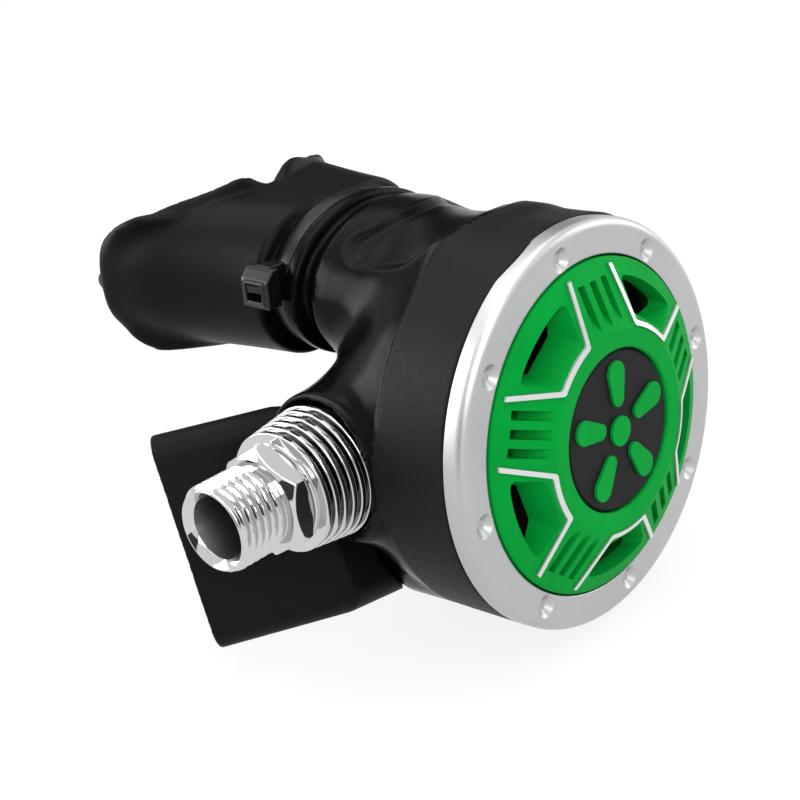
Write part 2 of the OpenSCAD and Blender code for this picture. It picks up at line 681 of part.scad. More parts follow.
module valve_barrel() color("gold") at_drum() difference() {
    rod_x(barrel_r, -barrel_half, barrel_half);
    rod_x(barrel_bore, -barrel_half - cut, barrel_half + cut);
    slot_back = foot_r + 2 * rest_gap;
    slot_front = foot_r + lever_heel * sin(lever_swing) + 2 * rest_gap;
    slot_h = foot_r + 2 * rest_gap;
    translate([foot_x - slot_back, valve_depth - slot_h, -barrel_r - cut])
        cube([slot_back + slot_front, 2 * slot_h, 2 * (barrel_r + cut)]);
    // Gas windows towards the mouth
    for (x = [-3, 3]) translate([x, valve_depth, 0]) rotate([-90, 0, 0]) cylinder(r = 2, h = barrel_r + cut);
}
module orifice() color("gold") at_drum() difference() {
    union() {
        rod_x(barrel_bore - fit_gap, -orifice_x - orifice_len, -orifice_x - crown_len);
        translate([-orifice_x - crown_len, valve_depth, 0]) rotate([0, 90, 0])
            cylinder(r1 = orifice_bore + 1.2, r2 = orifice_bore + 0.35, h = crown_len);
    }
    rod_x(orifice_bore, -orifice_x - orifice_len - cut, -orifice_x + cut);
}
module poppet() color("white") at_drum() difference() {
    union() {
        rod_x(poppet_r, -orifice_x + rest_gap + seat_proud, poppet_tail);
        rod_x(stem_r, poppet_tail, spring_x + 1.5);
    }
    rod_x(seat_r + fit_gap, -orifice_x, -orifice_x + rest_gap + seat_t);
    // Flutes that let the gas past
    for (a = [0:120:240]) translate([-orifice_x, valve_depth, 0]) rotate([a, 0, 0]) translate([0, poppet_r + 1.1, 0])
        rotate([0, 90, 0]) cylinder(r = 2.2, h = orifice_x + poppet_tail + cut);
}
module seat_disc() color("dimgray") at_drum() rod_x(seat_r, -orifice_x + rest_gap, -orifice_x + rest_gap + seat_t);
module poppet_nut() color("gold") at_drum() difference() {
    translate([nut_x, valve_depth, 0]) rotate([0, 90, 0]) cylinder(r = nut_r, h = nut_len, $fn = 6);
    rod_x(stem_r + fit_gap, nut_x - cut, spring_x + cut);
}
module poppet_spring() color("lightgray") at_drum() translate([spring_x + rest_gap, valve_depth, 0]) rotate([0, 90, 0])
    coil(valve_coil_r, valve_wire_r, pad_x - spring_x - 2 * rest_gap, valve_turns);
module spring_pad() color("white") at_drum() difference() {
    rod_x(barrel_bore - slide_gap, pad_x, pad_x + pad_len);
    rod_x(screw_r + fit_gap, pad_x - cut, pad_x + pad_len + cut);
}
// A groove cut into the outside of a rod along X, for a round seal
module groove_x(x, r) difference() {
    rod_x(r + cut, x - seal_wire - fit_gap, x + seal_wire + fit_gap);
    rod_x(r - 2 * seal_wire - fit_gap, x - 2 * seal_wire, x + 2 * seal_wire);
}
module knob_gland() color("dimgray") at_drum() difference() {
    union() {
        rod_x(barrel_bore - fit_gap, barrel_half - gland_spigot, boss_half);
        rod_x(barrel_r, barrel_half + fit_gap, boss_half);
        rod_x(flange_out_r, boss_half, gland_end);
    }
    rod_x(screw_r + fit_gap, barrel_half - gland_spigot - cut, gland_end + cut);
    rod_x(screw_r + 2 * seal_wire + fit_gap, boss_half - seal_wire - fit_gap, boss_half + seal_wire + fit_gap);
    groove_x(seal_x, barrel_r);
}
module adjusting_screw() color("silver") at_drum() rod_x(screw_r, pad_x - 0.6, knob_x + 3);
module adjusting_knob() color("black") at_drum() difference() {
    translate([knob_x, valve_depth, 0]) rotate([0, 90, 0]) rotate_extrude() polygon(concat([[0, 0], [knob_r - 1, 0]],
        arc([knob_r - 0.6, 1.2], 0.6, -60, 0, 4), arc([knob_r - 2, knob_len - 2], 2, 0, 90), [[0, knob_len]]));
    rod_x(screw_r + fit_gap, knob_x - cut, knob_x + 3);
    for (i = [0:flute_count - 1]) translate([knob_x + 2.5, valve_depth, 0]) rotate([i * 360 / flute_count, 0, 0])
        translate([0, knob_r + flute_r * 0.55, 0]) rotate([0, 90, 0]) cylinder(r = flute_r, h = knob_len);
    rod_x(knob_r * 0.45, knob_x + knob_len - 1, knob_x + knob_len + cut);
}

// ---- Inlet ----

module inlet_fitting() color("silver") at_drum() difference() {
    end_x = -inlet_reach - thread_len;
    hex_x = -inlet_reach;
    union() {
        translate([end_x, valve_depth, 0]) rotate([0, 90, 0]) cylinder(r1 = thread_r - 0.7, r2 = thread_r, h = 0.7);
        rod_x(thread_r, end_x + 0.7, hex_x);
        intersection() {
            translate([hex_x, valve_depth, 0]) rotate([0, 90, 0]) cylinder(r = hex_r, h = hex_len, $fn = 6);
            translate([hex_x, valve_depth, 0]) rotate([0, 90, 0]) rotate_extrude() polygon([[0, 0],
                [hex_af / 2 - 0.1, 0], [hex_r, 0.8], [hex_r, hex_len - 0.8], [hex_af / 2 - 0.1, hex_len], [0, hex_len]]);
        }
        rod_x(shank_r, hex_x + hex_len, -shank_end);
    }
    rod_x(mouth_r, end_x - cut, end_x + mouth_depth);
    translate([end_x - 0.01, valve_depth, 0]) rotate([0, 90, 0]) cylinder(r1 = mouth_r + 0.7, r2 = mouth_r, h = 0.7);
    rod_x(gas_r, end_x, -shank_end + cut);
}
module heat_exchanger() color("silver") at_drum() difference() {
    x0 = -fins_x - fins_len;
    union() {
        rod_x(fin_core_r, x0, -fins_x);
        rod_x(barrel_r, -fins_x, -barrel_half - fit_gap);
        rod_x(fin_core_r + 1, -fins_x - 0.2, -boss_half + pocket_depth);
        for (i = [0:fin_count - 1]) {
            r = fin_first_r + (fin_last_r - fin_first_r) * i / (fin_count - 1);
            x = x0 + (i + 1) * fin_pitch - fin_t;
            translate([x, valve_depth, 0]) rotate([0, 90, 0]) rotate_extrude() polygon([[0, 0], [r - 0.25, 0],
                [r, 0.25], [r, fin_t - 0.25], [r - 0.25, fin_t], [0, fin_t]]);
        }
    }
    rod_x(shank_r + fit_gap, x0 - cut, -barrel_half + cut);
    groove_x(-seal_x, barrel_r);
}
// A round seal about the barrel's axis
module seal_at(x, r) color("black") at_drum() translate([x, valve_depth, 0]) rotate([0, 90, 0]) rotate_extrude()
    translate([r, 0]) circle(r = seal_wire, $fn = 24);
module inlet_seal() seal_at(-seal_x, barrel_r - seal_wire);
module gland_seal() seal_at(seal_x, barrel_r - seal_wire);
module screw_seal() seal_at(boss_half, screw_r + seal_wire + fit_gap / 2);

// ---- Vane ----

module vane_lever() color("black") at_neck() translate([0, vane_along, 0]) {
    paddle_x = neck_side + rest_gap;
    root = vane_half_w - cut;
    rotate([0, 90, 0]) translate([0, 0, -root]) cylinder(r = spindle_r, h = root + paddle_x + cut);
    translate([paddle_x, 0, 0]) rotate([0, 90, 0]) {
        cylinder(r = 2 * spindle_r, h = vane_arm_t);
        linear_extrude(vane_arm_t) hull() {
            circle(r = 2 * spindle_r - 0.4);
            translate([-spindle_r, vane_arm]) circle(r = spindle_r);
        }
    }
}
module flow_vane() color("dimgray") at_neck() translate([0, vane_along, 0]) difference() {
    union() {
        rotate([0, 90, 0]) translate([0, 0, -vane_half_w]) cylinder(r = spindle_r + 1, h = 2 * vane_half_w);
        translate([-vane_half_w, -vane_half_len, -vane_t / 2]) cube([2 * vane_half_w, 2 * vane_half_len, vane_t]);
    }
    rotate([0, 90, 0]) translate([0, 0, -vane_half_w - cut]) cylinder(r = spindle_r + fit_gap, h = 2 * (vane_half_w + cut));
}

// ---- Exhaust ----

module exhaust_spider() color("dimgray") at_drum() at_port() difference() {
    spider_len = 2;
    y0 = port_len - spider_len;
    spoke_w = 1.6;
    rod_y(valve_r - valve_lap - fit_gap, y0, port_len);
    difference() {
        rod_y(valve_r - valve_lap - spoke_w, y0 - cut, port_len + cut);
        rod_y(3, y0 - cut, port_len + cut);
        for (a = [0:60:120]) rotate([0, a, 0]) translate([-valve_r, y0 - cut, -spoke_w / 2])
            cube([2 * valve_r, spider_len + 2 * cut, spoke_w]);
    }
    rod_y(stalk_r, y0 - cut, port_len + cut);
}
module exhaust_valve() color("dimgray") at_drum() at_port() {
    flap_t = 0.5;
    about_y() polygon([[0, port_len + rest_gap], [valve_r, port_len + rest_gap], [valve_r, port_len + rest_gap + flap_t],
        [3, port_len + 1.6], [0, port_len + 1.6]]);
    rod_y(stalk_r - fit_gap, port_len - 3.5, port_len + rest_gap);
    rod_y(stalk_r + 0.6, port_len - 3.5, port_len - 2 - rest_gap);
}

// One station of a wing at a reach from the drum's axis: a leaning, rounded slot that swells towards the root.
// A slanted station runs inwards behind its front edge
module wing_station(x, inset, slant = 0) {
    swell = max(0, 1 - x / tee_root);
    front = tee_front + x * tan(tee_sweep) + tee_step * swell;
    top = tee_top - (tee_top + 1.6) * swell - inset;
    bottom = -tee_bottom - 2 * swell + inset;
    lean = tee_lean * (1 - swell);
    r = tee_round - inset * 0.8;
    thick = tee_thick + tee_swell * swell;
    fall = slant * lean / (top - bottom);
    multmatrix([[1, -slant, fall, x + slant * front - fall * top], [0, 1, 0, 0], [0, 0, 1, 0]])
        rotate([90, 0, 90]) linear_extrude(slice) hull()
            for (corner = [[front + inset + r, top - r], [front + thick - inset - r, top - r - tee_fall],
                [front - lean + inset + r, bottom + r], [front - lean + thick - inset - r, bottom + r + 3]])
                translate(corner) circle(r = r, $fn = 24);
}
module wing(inset, reach) {
    stations = [for (share = [1 / 6, 5 / 12, 2 / 3, 1]) tee_root * share];
    for (i = [0:len(stations) - 1]) hull() {
        wing_station(stations[i], inset);
        if (i < len(stations) - 1) wing_station(stations[i + 1], inset);
        else wing_station(reach, inset, tee_slant);
    }
}
// Both wings and the chamber between them
module wings(inset, reach) {
    wing(inset, reach);
    mirror([1, 0, 0]) wing(inset, reach);
    hull() for (side = [0, 1]) mirror([side, 0, 0]) wing_station(tee_root / 6, inset);
}
module exhaust_tee() color("black") at_drum() difference() {
    wings(0, tee_reach);
    wings(tee_wall, tee_reach + cut);
    case_outside(0.15);
}

// ---- Mouthpiece ----

// One station of the mouthpiece: a rounded slot of half width w and half height h at a distance along the neck
module mouth_station(along, w, h, r) translate([0, along + slice, 0]) rotate([90, 0, 0]) linear_extrude(slice) hull()
    for (sx = [-1, 1], sz = [-1, 1]) translate([sx * (w - r), sz * (h - r)]) circle(r = r, $fn = 32);
module mouth_chain(stations) for (i = [0:len(stations) - 2]) hull() {
    mouth_station(stations[i][0], stations[i][1], stations[i][2], stations[i][3]);
    mouth_station(stations[i + 1][0], stations[i + 1][1], stations[i + 1][2], stations[i + 1][3]);
}
// The strap's outline, and the same outline grown
module strap_oval(grow = 0) offset(r = grow) scale([neck_oval, 1]) circle(r = tie_in_r, $fn = 96);
module mouthpiece() color("black") at_neck() {
    base = neck_len + fit_gap;
    body = tie_at + tie_w + 0.5;
    w = shield_half_w;
    h = shield_half_h;
    rear = neck_len + shield_len;
    end = neck_len + bite_len;
    in = mouth_wall;
    deep = rear - body;
    difference() {
        union() {
            oval() rod_y(mouth_out_r, base, body + cut, $fn = 96);
            mouth_chain([[body, w * 0.735, h, h - 0.1], [body + deep * 0.25, w * 0.77, h, h - 0.2],
                [body + deep * 0.5, w * 0.83, h, h - 0.4], [body + deep * 0.8, w * 0.955, h, h - 0.6],
                [rear, w, h - 1.5, h - 2.4]]);
        }
        oval() rod_y(mouth_in_r, base - cut, neck_len + spigot_len + fit_gap, $fn = 96);
        mouth_chain([[neck_len + spigot_len - 0.1, breath_r * neck_oval, breath_r, breath_r - 0.2],
            [body + deep * 0.5, w * 0.83 - in, h - in, h - in - 0.4], [rear + cut, w - in, h - 1.5 - in, h - 2.4 - in]]);
        // The shield's back is hollowed round the teeth
        translate([0, rear + 14, -2 * h]) cylinder(r = 30, h = 4 * h);
        // The channel of the cable tie
        face_plate(tie_at - fit_gap, tie_at + tie_w + fit_gap) difference() {
            strap_oval(tie_t + 4 * cut);
            strap_oval(-fit_gap);
        }
    }
    // Bite tabs with their ridges
    tab_x = w * 0.58;
    for (side = [-1, 1]) {
        hull() {
            translate([side * w * 0.73, rear - 15, 0]) cube([tab_w * 0.7, tab_t, tab_t], center = true);
            translate([side * tab_x, end - 2, 0]) cube([tab_w, 3, tab_t], center = true);
        }
        translate([side * tab_x, end - 2, 0]) cube([tab_w, 3, 2 * tab_half_h], center = true);
    }
}
module mouthpiece_tie() color("black") at_neck() {
    face_plate(tie_at, tie_at + tie_w) difference() {
        strap_oval(tie_t);
        strap_oval();
    }
    // The head sits square on the oval, with the strap's end let into its outer face
    half_w = tie_in_r * neck_oval + tie_t;
    half_h = tie_in_r + tie_t;
    normal = atan2(half_w * sin(tie_angle), half_h * cos(tie_angle));
    head_w = tie_w + 2 * head_margin;
    head_slot_h = 2.6;
    head_slot_deep = 1.4;
    translate([-half_w * cos(tie_angle), tie_at + tie_w / 2, half_h * sin(tie_angle)]) rotate([0, 180 + normal, 0])
        difference() {
            union() {
                translate([0, -tie_w / 2, -head_len / 2]) cube([head_foot + slice, tie_w, head_len]);
                translate([head_foot, -head_w / 2, -head_len / 2]) cube([head_h - head_foot, head_w, head_len]);
            }
            translate([head_h - head_slot_deep, -tie_w / 2, -head_slot_h / 2]) cube([head_slot_deep + cut, tie_w, head_slot_h]);
        }
}

case();
face_ring();
front_cover();
window_trim();
purge_button();
button_pads();
purge_spring();
purge_spider();
diaphragm();
diaphragm_plate();
diaphragm_washer();
demand_lever();
valve_barrel();
orifice();
poppet();
seat_disc();
poppet_nut();
poppet_spring();
spring_pad();
knob_gland();
adjusting_screw();
adjusting_knob();
inlet_fitting();
heat_exchanger();
inlet_seal();
gland_seal();
screw_seal();
vane_lever();
flow_vane();
exhaust_spider();
exhaust_valve();
exhaust_tee();
mouthpiece();
mouthpiece_tie();
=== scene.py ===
"""Looks of the scuba second stage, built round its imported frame.

The pieces are worked out in millimetres in the drum's own frame: X along the valve barrel, Y from the ring's
face to the mouthpiece, Z up, and zero on the drum's axis at the ring's face.
"""
import math

import bpy
import numpy as np
from mathutils import Matrix, Vector


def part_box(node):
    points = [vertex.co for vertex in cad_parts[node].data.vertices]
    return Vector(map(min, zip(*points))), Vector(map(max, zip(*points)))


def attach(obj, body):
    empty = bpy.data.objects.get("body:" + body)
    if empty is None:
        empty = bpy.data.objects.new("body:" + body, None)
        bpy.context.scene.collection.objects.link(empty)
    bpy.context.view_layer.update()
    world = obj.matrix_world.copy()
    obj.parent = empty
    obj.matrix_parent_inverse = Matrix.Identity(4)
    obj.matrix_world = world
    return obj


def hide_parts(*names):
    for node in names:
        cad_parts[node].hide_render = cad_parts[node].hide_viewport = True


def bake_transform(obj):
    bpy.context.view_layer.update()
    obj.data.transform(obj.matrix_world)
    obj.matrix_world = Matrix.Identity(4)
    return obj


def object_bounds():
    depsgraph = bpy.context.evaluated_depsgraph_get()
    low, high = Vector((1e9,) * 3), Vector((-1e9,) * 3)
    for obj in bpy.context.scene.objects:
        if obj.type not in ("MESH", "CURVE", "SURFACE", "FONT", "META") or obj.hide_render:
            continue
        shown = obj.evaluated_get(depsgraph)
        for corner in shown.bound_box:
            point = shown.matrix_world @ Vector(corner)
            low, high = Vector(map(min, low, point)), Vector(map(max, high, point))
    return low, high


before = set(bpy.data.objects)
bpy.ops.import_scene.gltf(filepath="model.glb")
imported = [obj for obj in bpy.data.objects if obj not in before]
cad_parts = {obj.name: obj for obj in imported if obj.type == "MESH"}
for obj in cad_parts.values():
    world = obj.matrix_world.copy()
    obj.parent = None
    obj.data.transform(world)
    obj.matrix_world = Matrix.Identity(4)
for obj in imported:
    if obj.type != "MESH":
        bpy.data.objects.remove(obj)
CAD_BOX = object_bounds()
RING_LOW, RING_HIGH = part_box("face_ring")
DRUM = np.array([(RING_LOW.x + RING_HIGH.x) / 2, RING_LOW.y, (RING_LOW.z + RING_HIGH.z) / 2]) * 1000

# ---- Sizes of the drum and its valve, in millimetres ----

DRUM_R = (RING_HIGH.x - RING_LOW.x) * 500
RIM = 3.6                     # the ring's rim, in front of the band
BAND_END = 17.4
BOWL_R, BOWL_Y, BOWL_DEPTH = 32.1, 16.8, 26.0
AXIS_Y = 30.1                 # the valve barrel's axis
BOSS_R, BOSS_HALF = 12.4, 31.0
BULGE_R, BULGE_DROP, BULGE_Y, BULGE_FRONT = 17.2, 19.2, 37.5, 20
NECK_Y, NECK_Z, NECK_TILT, NECK_LEN = 20.0, 19.9, math.radians(2.5), 26.7
OVAL = 1.42                   # width of the neck's ovals for a height of 1
BREATH_R = 9.2
SPIGOT_R, SPIGOT_LEN = 10.9, 12.0
PORT_Y, PORT_DROP, PORT_TILT, PORT_R, PORT_LEN, PORT_BACK = 33.0, 14.4, math.radians(30), 15.6, 9.0, 8
TIE_AT, TIE_W, TIE_T, TIE_IN = 27.2, 3.2, 1.3, 11.85
STEP = 0.5


# ---- Meshes ----

def to_row(points):
    """Drum frame in millimetres to the row's frame in metres."""
    return (np.asarray(points, float) + DRUM) / 1000


def link_object(name, data):
    """An object of a mesh, lamp or camera, in the scene."""
    obj = bpy.data.objects.new(name, data)
    bpy.context.scene.collection.objects.link(obj)
    return obj


def row_mesh(name, verts, faces, mat):
    """A mesh object of points in the row's frame, in metres."""
    mesh = bpy.data.meshes.new(name)
    mesh.from_pydata([tuple(p) for p in verts], [], [tuple(int(i) for i in f) for f in faces])
    mesh.update()
    mesh.materials.append(mat)
    return link_object(name, mesh)


def smooth(obj):
    obj.data.polygons.foreach_set("use_smooth", [True] * len(obj.data.polygons))


def make(name, verts, faces, mat, nodes, sharp=None):
    """A piece of points in the drum's frame, which rides on the housing and stands for CAD nodes."""
    obj = row_mesh(name, to_row(verts), faces, mat)
    smooth(obj)
    if sharp is not None:
        obj.data.set_sharp_from_angle(angle=math.radians(sharp))
    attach(obj, "housing")
    if nodes:
        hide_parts(*nodes)
    return obj


RELAX_TURNS = 2
SLICE = 24                    # layers that the field is worked out for at a time


def nets(field, low, high, step):
    """The zero surface of a distance field in a box, by surface nets, then relaxed and set on the surface."""
    low = np.array(low, float)
    high = np.array(high, float)
    n = np.ceil((high - low) / step).astype(int) + 1
    axes = [low[i] + step * np.arange(n[i]) for i in range(3)]
    value = np.empty(tuple(n), np.float32)
    for i0 in range(0, n[0], SLICE):
        x, y, z = np.meshgrid(axes[0][i0:i0 + SLICE], axes[1], axes[2], indexing="ij")
        value[i0:i0 + SLICE] = field(x, y, z)
    inside = value < 0
    count = np.zeros(tuple(n - 1), np.int8)
    corners = [(i, j, k) for i in (0, 1) for j in (0, 1) for k in (0, 1)]
    for i, j, k in corners:
        count += inside[i:n[0] - 1 + i, j:n[1] - 1 + j, k:n[2] - 1 + k]
    mixed = (count > 0) & (count < 8)
    index = -np.ones(tuple(n - 1), np.int64)
    index[mixed] = np.arange(int(mixed.sum()))
    cells = np.argwhere(mixed)
    total = np.zeros((len(cells), 3))
    hits = np.zeros(len(cells))
    for a in corners:
        for axis in range(3):
            if a[axis]:
                continue
            b = list(a)
            b[axis] = 1
            pa, pb = cells + a, cells + b
            va = value[pa[:, 0], pa[:, 1], pa[:, 2]].astype(float)
            vb = value[pb[:, 0], pb[:, 1], pb[:, 2]].astype(float)
            cross = (va < 0) != (vb < 0)
            t = np.where(cross, va / np.where(cross, va - vb, 1), 0)
            p = pa + t[:, None] * (np.array(b) - np.array(a))
            total[cross] += p[cross]
            hits[cross] += 1
    verts = low + step * total / hits[:, None]
    faces = []
    for axis in range(3):
        u, v = (axis + 1) % 3, (axis + 2) % 3
        lo = [slice(None)] * 3
        hi = [slice(None)] * 3
        lo[axis], hi[axis] = slice(0, -1), slice(1, None)
        flip = inside[tuple(lo)] != inside[tuple(hi)]
        at = np.argwhere(flip)
        at = at[(at[:, u] > 0) & (at[:, v] > 0) & (at[:, u] < n[u] - 1) & (at[:, v] < n[v] - 1)]
        du, dv = np.zeros(3, int), np.zeros(3, int)
        du[u], dv[v] = 1, 1
        quad = [at - du - dv, at - dv, at, at - du]
        ids = np.stack([index[q[:, 0], q[:, 1], q[:, 2]] for q in quad], 1)
        out = inside[at[:, 0], at[:, 1], at[:, 2]]
        faces.append(np.where(out[:, None], ids, ids[:, ::-1]))
    faces = np.concatenate(faces)
    faces = faces[(faces >= 0).all(1)]
    edges = np.concatenate([faces[:, [0, 1]], faces[:, [1, 2]], faces[:, [2, 3]], faces[:, [3, 0]]])
    edges = np.concatenate([edges, edges[:, ::-1]])
    degree = np.bincount(edges[:, 0], minlength=len(verts)).clip(1)
    for turn in range(RELAX_TURNS + 1):
        if turn:
            mean = np.stack([np.bincount(edges[:, 0], verts[edges[:, 1], c], minlength=len(verts))
                             for c in range(3)], 1) / degree[:, None]
            verts += 0.5 * (mean - verts)
        verts = onto(field, verts, step)
    return verts, faces


def gradient(field, p, e=0.04):
    """The field's slope at points, over a reach of e."""
    g = np.empty_like(p)
    for c in range(3):
        d = np.zeros(3)
        d[c] = e
        a, b = p + d, p - d
        g[:, c] = (field(a[:, 0], a[:, 1], a[:, 2]) - field(b[:, 0], b[:, 1], b[:, 2])) / (2 * e)
    return g


def onto(field, p, step, turns=2):
    """Points moved along the field's slope onto its zero surface."""
    for _ in range(turns):
        f = field(p[:, 0], p[:, 1], p[:, 2])
        g = gradient(field, p)
        length = np.sum(g * g, 1).clip(0.05)
        move = (f / length)[:, None] * g
        size = np.linalg.norm(move, axis=1, keepdims=True)
        p = p - move * np.minimum(1, 0.6 * step / np.maximum(size, 1e-9))
    return p


def smin(a, b, k):
    """The lesser of two distances, blended over a width of k."""
    h = np.maximum(k - np.abs(a - b), 0) / k
    return np.minimum(a, b) - h * h * k / 4


def smax(a, b, k):
    """The greater of two distances, blended over a width of k."""
    return -smin(-a, -b, k)


def step01(t):
    """A smooth step from 0 to 1."""
    t = np.clip(t, 0, 1)
    return t * t * (3 - 2 * t)


def curve(t, xs, ys):
    """A smooth curve through points, level beyond them."""
    xs, ys = np.array(xs, float), np.array(ys, float)
    m = np.gradient(ys, xs)
    t = np.clip(t, xs[0], xs[-1])
    i = np.clip(np.searchsorted(xs, t, side="right") - 1, 0, len(xs) - 2)
    h = xs[i + 1] - xs[i]
    q = (t - xs[i]) / h
    return ((2 * q ** 3 - 3 * q ** 2 + 1) * ys[i] + (q ** 3 - 2 * q ** 2 + q) * h * m[i]
            + (3 * q ** 2 - 2 * q ** 3) * ys[i + 1] + (q ** 3 - q ** 2) * h * m[i + 1])


def spline_loop(points, n):
    """A closed loop through points, smoothed, with n points for each."""
    p = np.array(points, float)
    out = []
    for i in range(len(p)):
        p0, p1, p2, p3 = (p[(i + d) % len(p)] for d in (-1, 0, 1, 2))
        for j in range(n):
            t = j / n
            out.append(0.5 * (2 * p1 + (p2 - p0) * t + (2 * p0 - 5 * p1 + 4 * p2 - p3) * t * t
                              + (3 * p1 - p0 - 3 * p2 + p3) * t ** 3))
    return np.array(out)


class Outline:
    """Signed distance to a closed flat outline, kept on a grid."""

    def __init__(self, loop, low, high, step=0.25):
        self.low, self.step = low, step
        xs, ys = np.arange(low[0], high[0] + step, step), np.arange(low[1], high[1] + step, step)
        gx, gy = np.meshgrid(xs, ys, indexing="ij")
        dist = np.full(gx.shape, 1e9)
        inside = np.zeros(gx.shape, bool)
        for i in range(len(loop)):
            a, b = loop[i], loop[(i + 1) % len(loop)]
            ab = b - a
            t = np.clip(((gx - a[0]) * ab[0] + (gy - a[1]) * ab[1]) / max(ab @ ab, 1e-12), 0, 1)
            dist = np.minimum(dist, np.hypot(gx - a[0] - t * ab[0], gy - a[1] - t * ab[1]))
            if a[1] != b[1]:
                inside ^= ((a[1] > gy) != (b[1] > gy)) & (gx < ab[0] * (gy - a[1]) / ab[1] + a[0])
        self.value = np.where(inside, -dist, dist)

    def __call__(self, x, y):
        i = np.clip((x - self.low[0]) / self.step, 0, self.value.shape[0] - 1.001)
        j = np.clip((y - self.low[1]) / self.step, 0, self.value.shape[1] - 1.001)
        i0, j0 = i.astype(int), j.astype(int)
        fi, fj = i - i0, j - j0
        g = self.value
        return ((g[i0, j0] * (1 - fi) + g[i0 + 1, j0] * fi) * (1 - fj)
                + (g[i0, j0 + 1] * (1 - fi) + g[i0 + 1, j0 + 1] * fi) * fj)


def block_field(p, q, r, low, high, round_r):
    """Distance to a rounded block of the three coordinates."""
    d = []
    for value, a, b in zip((p, q, r), low, high):
        d.append(np.abs(value - (a + b) / 2) - (b - a) / 2 + round_r)
    out = np.sqrt(sum(np.maximum(v, 0) ** 2 for v in d))
    return out + np.minimum(np.maximum(np.maximum(d[0], d[1]), d[2]), 0) - round_r


def quad_field(p, q, corners, round_r):
    """Distance to a rounded four-sided outline, its corners given in order round it."""
    dist, side = np.inf, -np.inf
    sides = [(corners[i], corners[(i + 1) % 4]) for i in range(4)]
    turn = np.sign(sum(a[0] * b[1] - b[0] * a[1] for a, b in sides))
    for a, b in sides:
        ex, ey = b[0] - a[0], b[1] - a[1]
        length = np.sqrt(ex * ex + ey * ey)
        t = np.clip(((p - a[0]) * ex + (q - a[1]) * ey) / (length * length), 0, 1)
        d = np.hypot(p - a[0] - t * ex, q - a[1] - t * ey)
        plane = ((p - a[0]) * ey - (q - a[1]) * ex) * turn / length
        dist, side = np.minimum(dist, d), np.maximum(side, plane)
    return np.where(side < 0, side, dist) - round_r


def oval_field(u, v, a, b):
    """Near distance to an ellipse of half axes a and b."""
    k0 = np.sqrt((u / a) ** 2 + (v / b) ** 2)
    k1 = np.sqrt((u / a ** 2) ** 2 + (v / b ** 2) ** 2)
    return k0 * (k0 - 1) / np.maximum(k1, 1e-6)


def neck_coords(x, y, z):
    """Coordinates of the neck's frame: across, along and up."""
    dy, dz = y - NECK_Y, z - NECK_Z
    c, s = math.cos(NECK_TILT), math.sin(NECK_TILT)
    return x, dy * c + dz * s, -dy * s + dz * c


def neck_point(u, s, v):
    """The drum frame's point at coordinates of the neck's frame."""
    c, n = math.cos(NECK_TILT), math.sin(NECK_TILT)
    return u + 0 * v, NECK_Y + s * c - v * n, NECK_Z + s * n + v * c


def port_coords(x, y, z):
    """Coordinates of the exhaust port's frame: across, along its axis and up."""
    dy, dz = y - PORT_Y, z + PORT_DROP
    c, s = math.cos(PORT_TILT), math.sin(PORT_TILT)
    return x, dy * c - dz * s, dy * s + dz * c


def port_field(x, y, z):
    px, ps, pz = port_coords(x, y, z)
    return np.maximum(np.maximum(np.hypot(px, pz) - PORT_R, ps - PORT_LEN), -PORT_BACK - ps)


def rounded(points, r, n):
    """A closed outline with its corners rounded."""
    out = []
    m = len(points)
    for i in range(m):
        p0, p1, p2 = (np.array(points[(i + d) % m], float) for d in (-1, 0, 1))
        d0, d1 = p0 - p1, p2 - p1
        l0, l1 = np.linalg.norm(d0), np.linalg.norm(d1)
        d0, d1 = d0 / l0, d1 / l1
        half = math.acos(float(np.clip(d0 @ d1, -1, 1))) / 2
        t = min(r / math.tan(half), 0.48 * l0, 0.48 * l1)
        a, b = p1 + d0 * t, p1 + d1 * t
        for q in np.arange(n + 1) / n:
            out.append((1 - q) ** 2 * a + 2 * q * (1 - q) * p1 + q * q * b)
    return out


# ---- Materials ----

SEAM_HALF, SEAM_HEIGHT = 0.00009, 0.0001        # metres


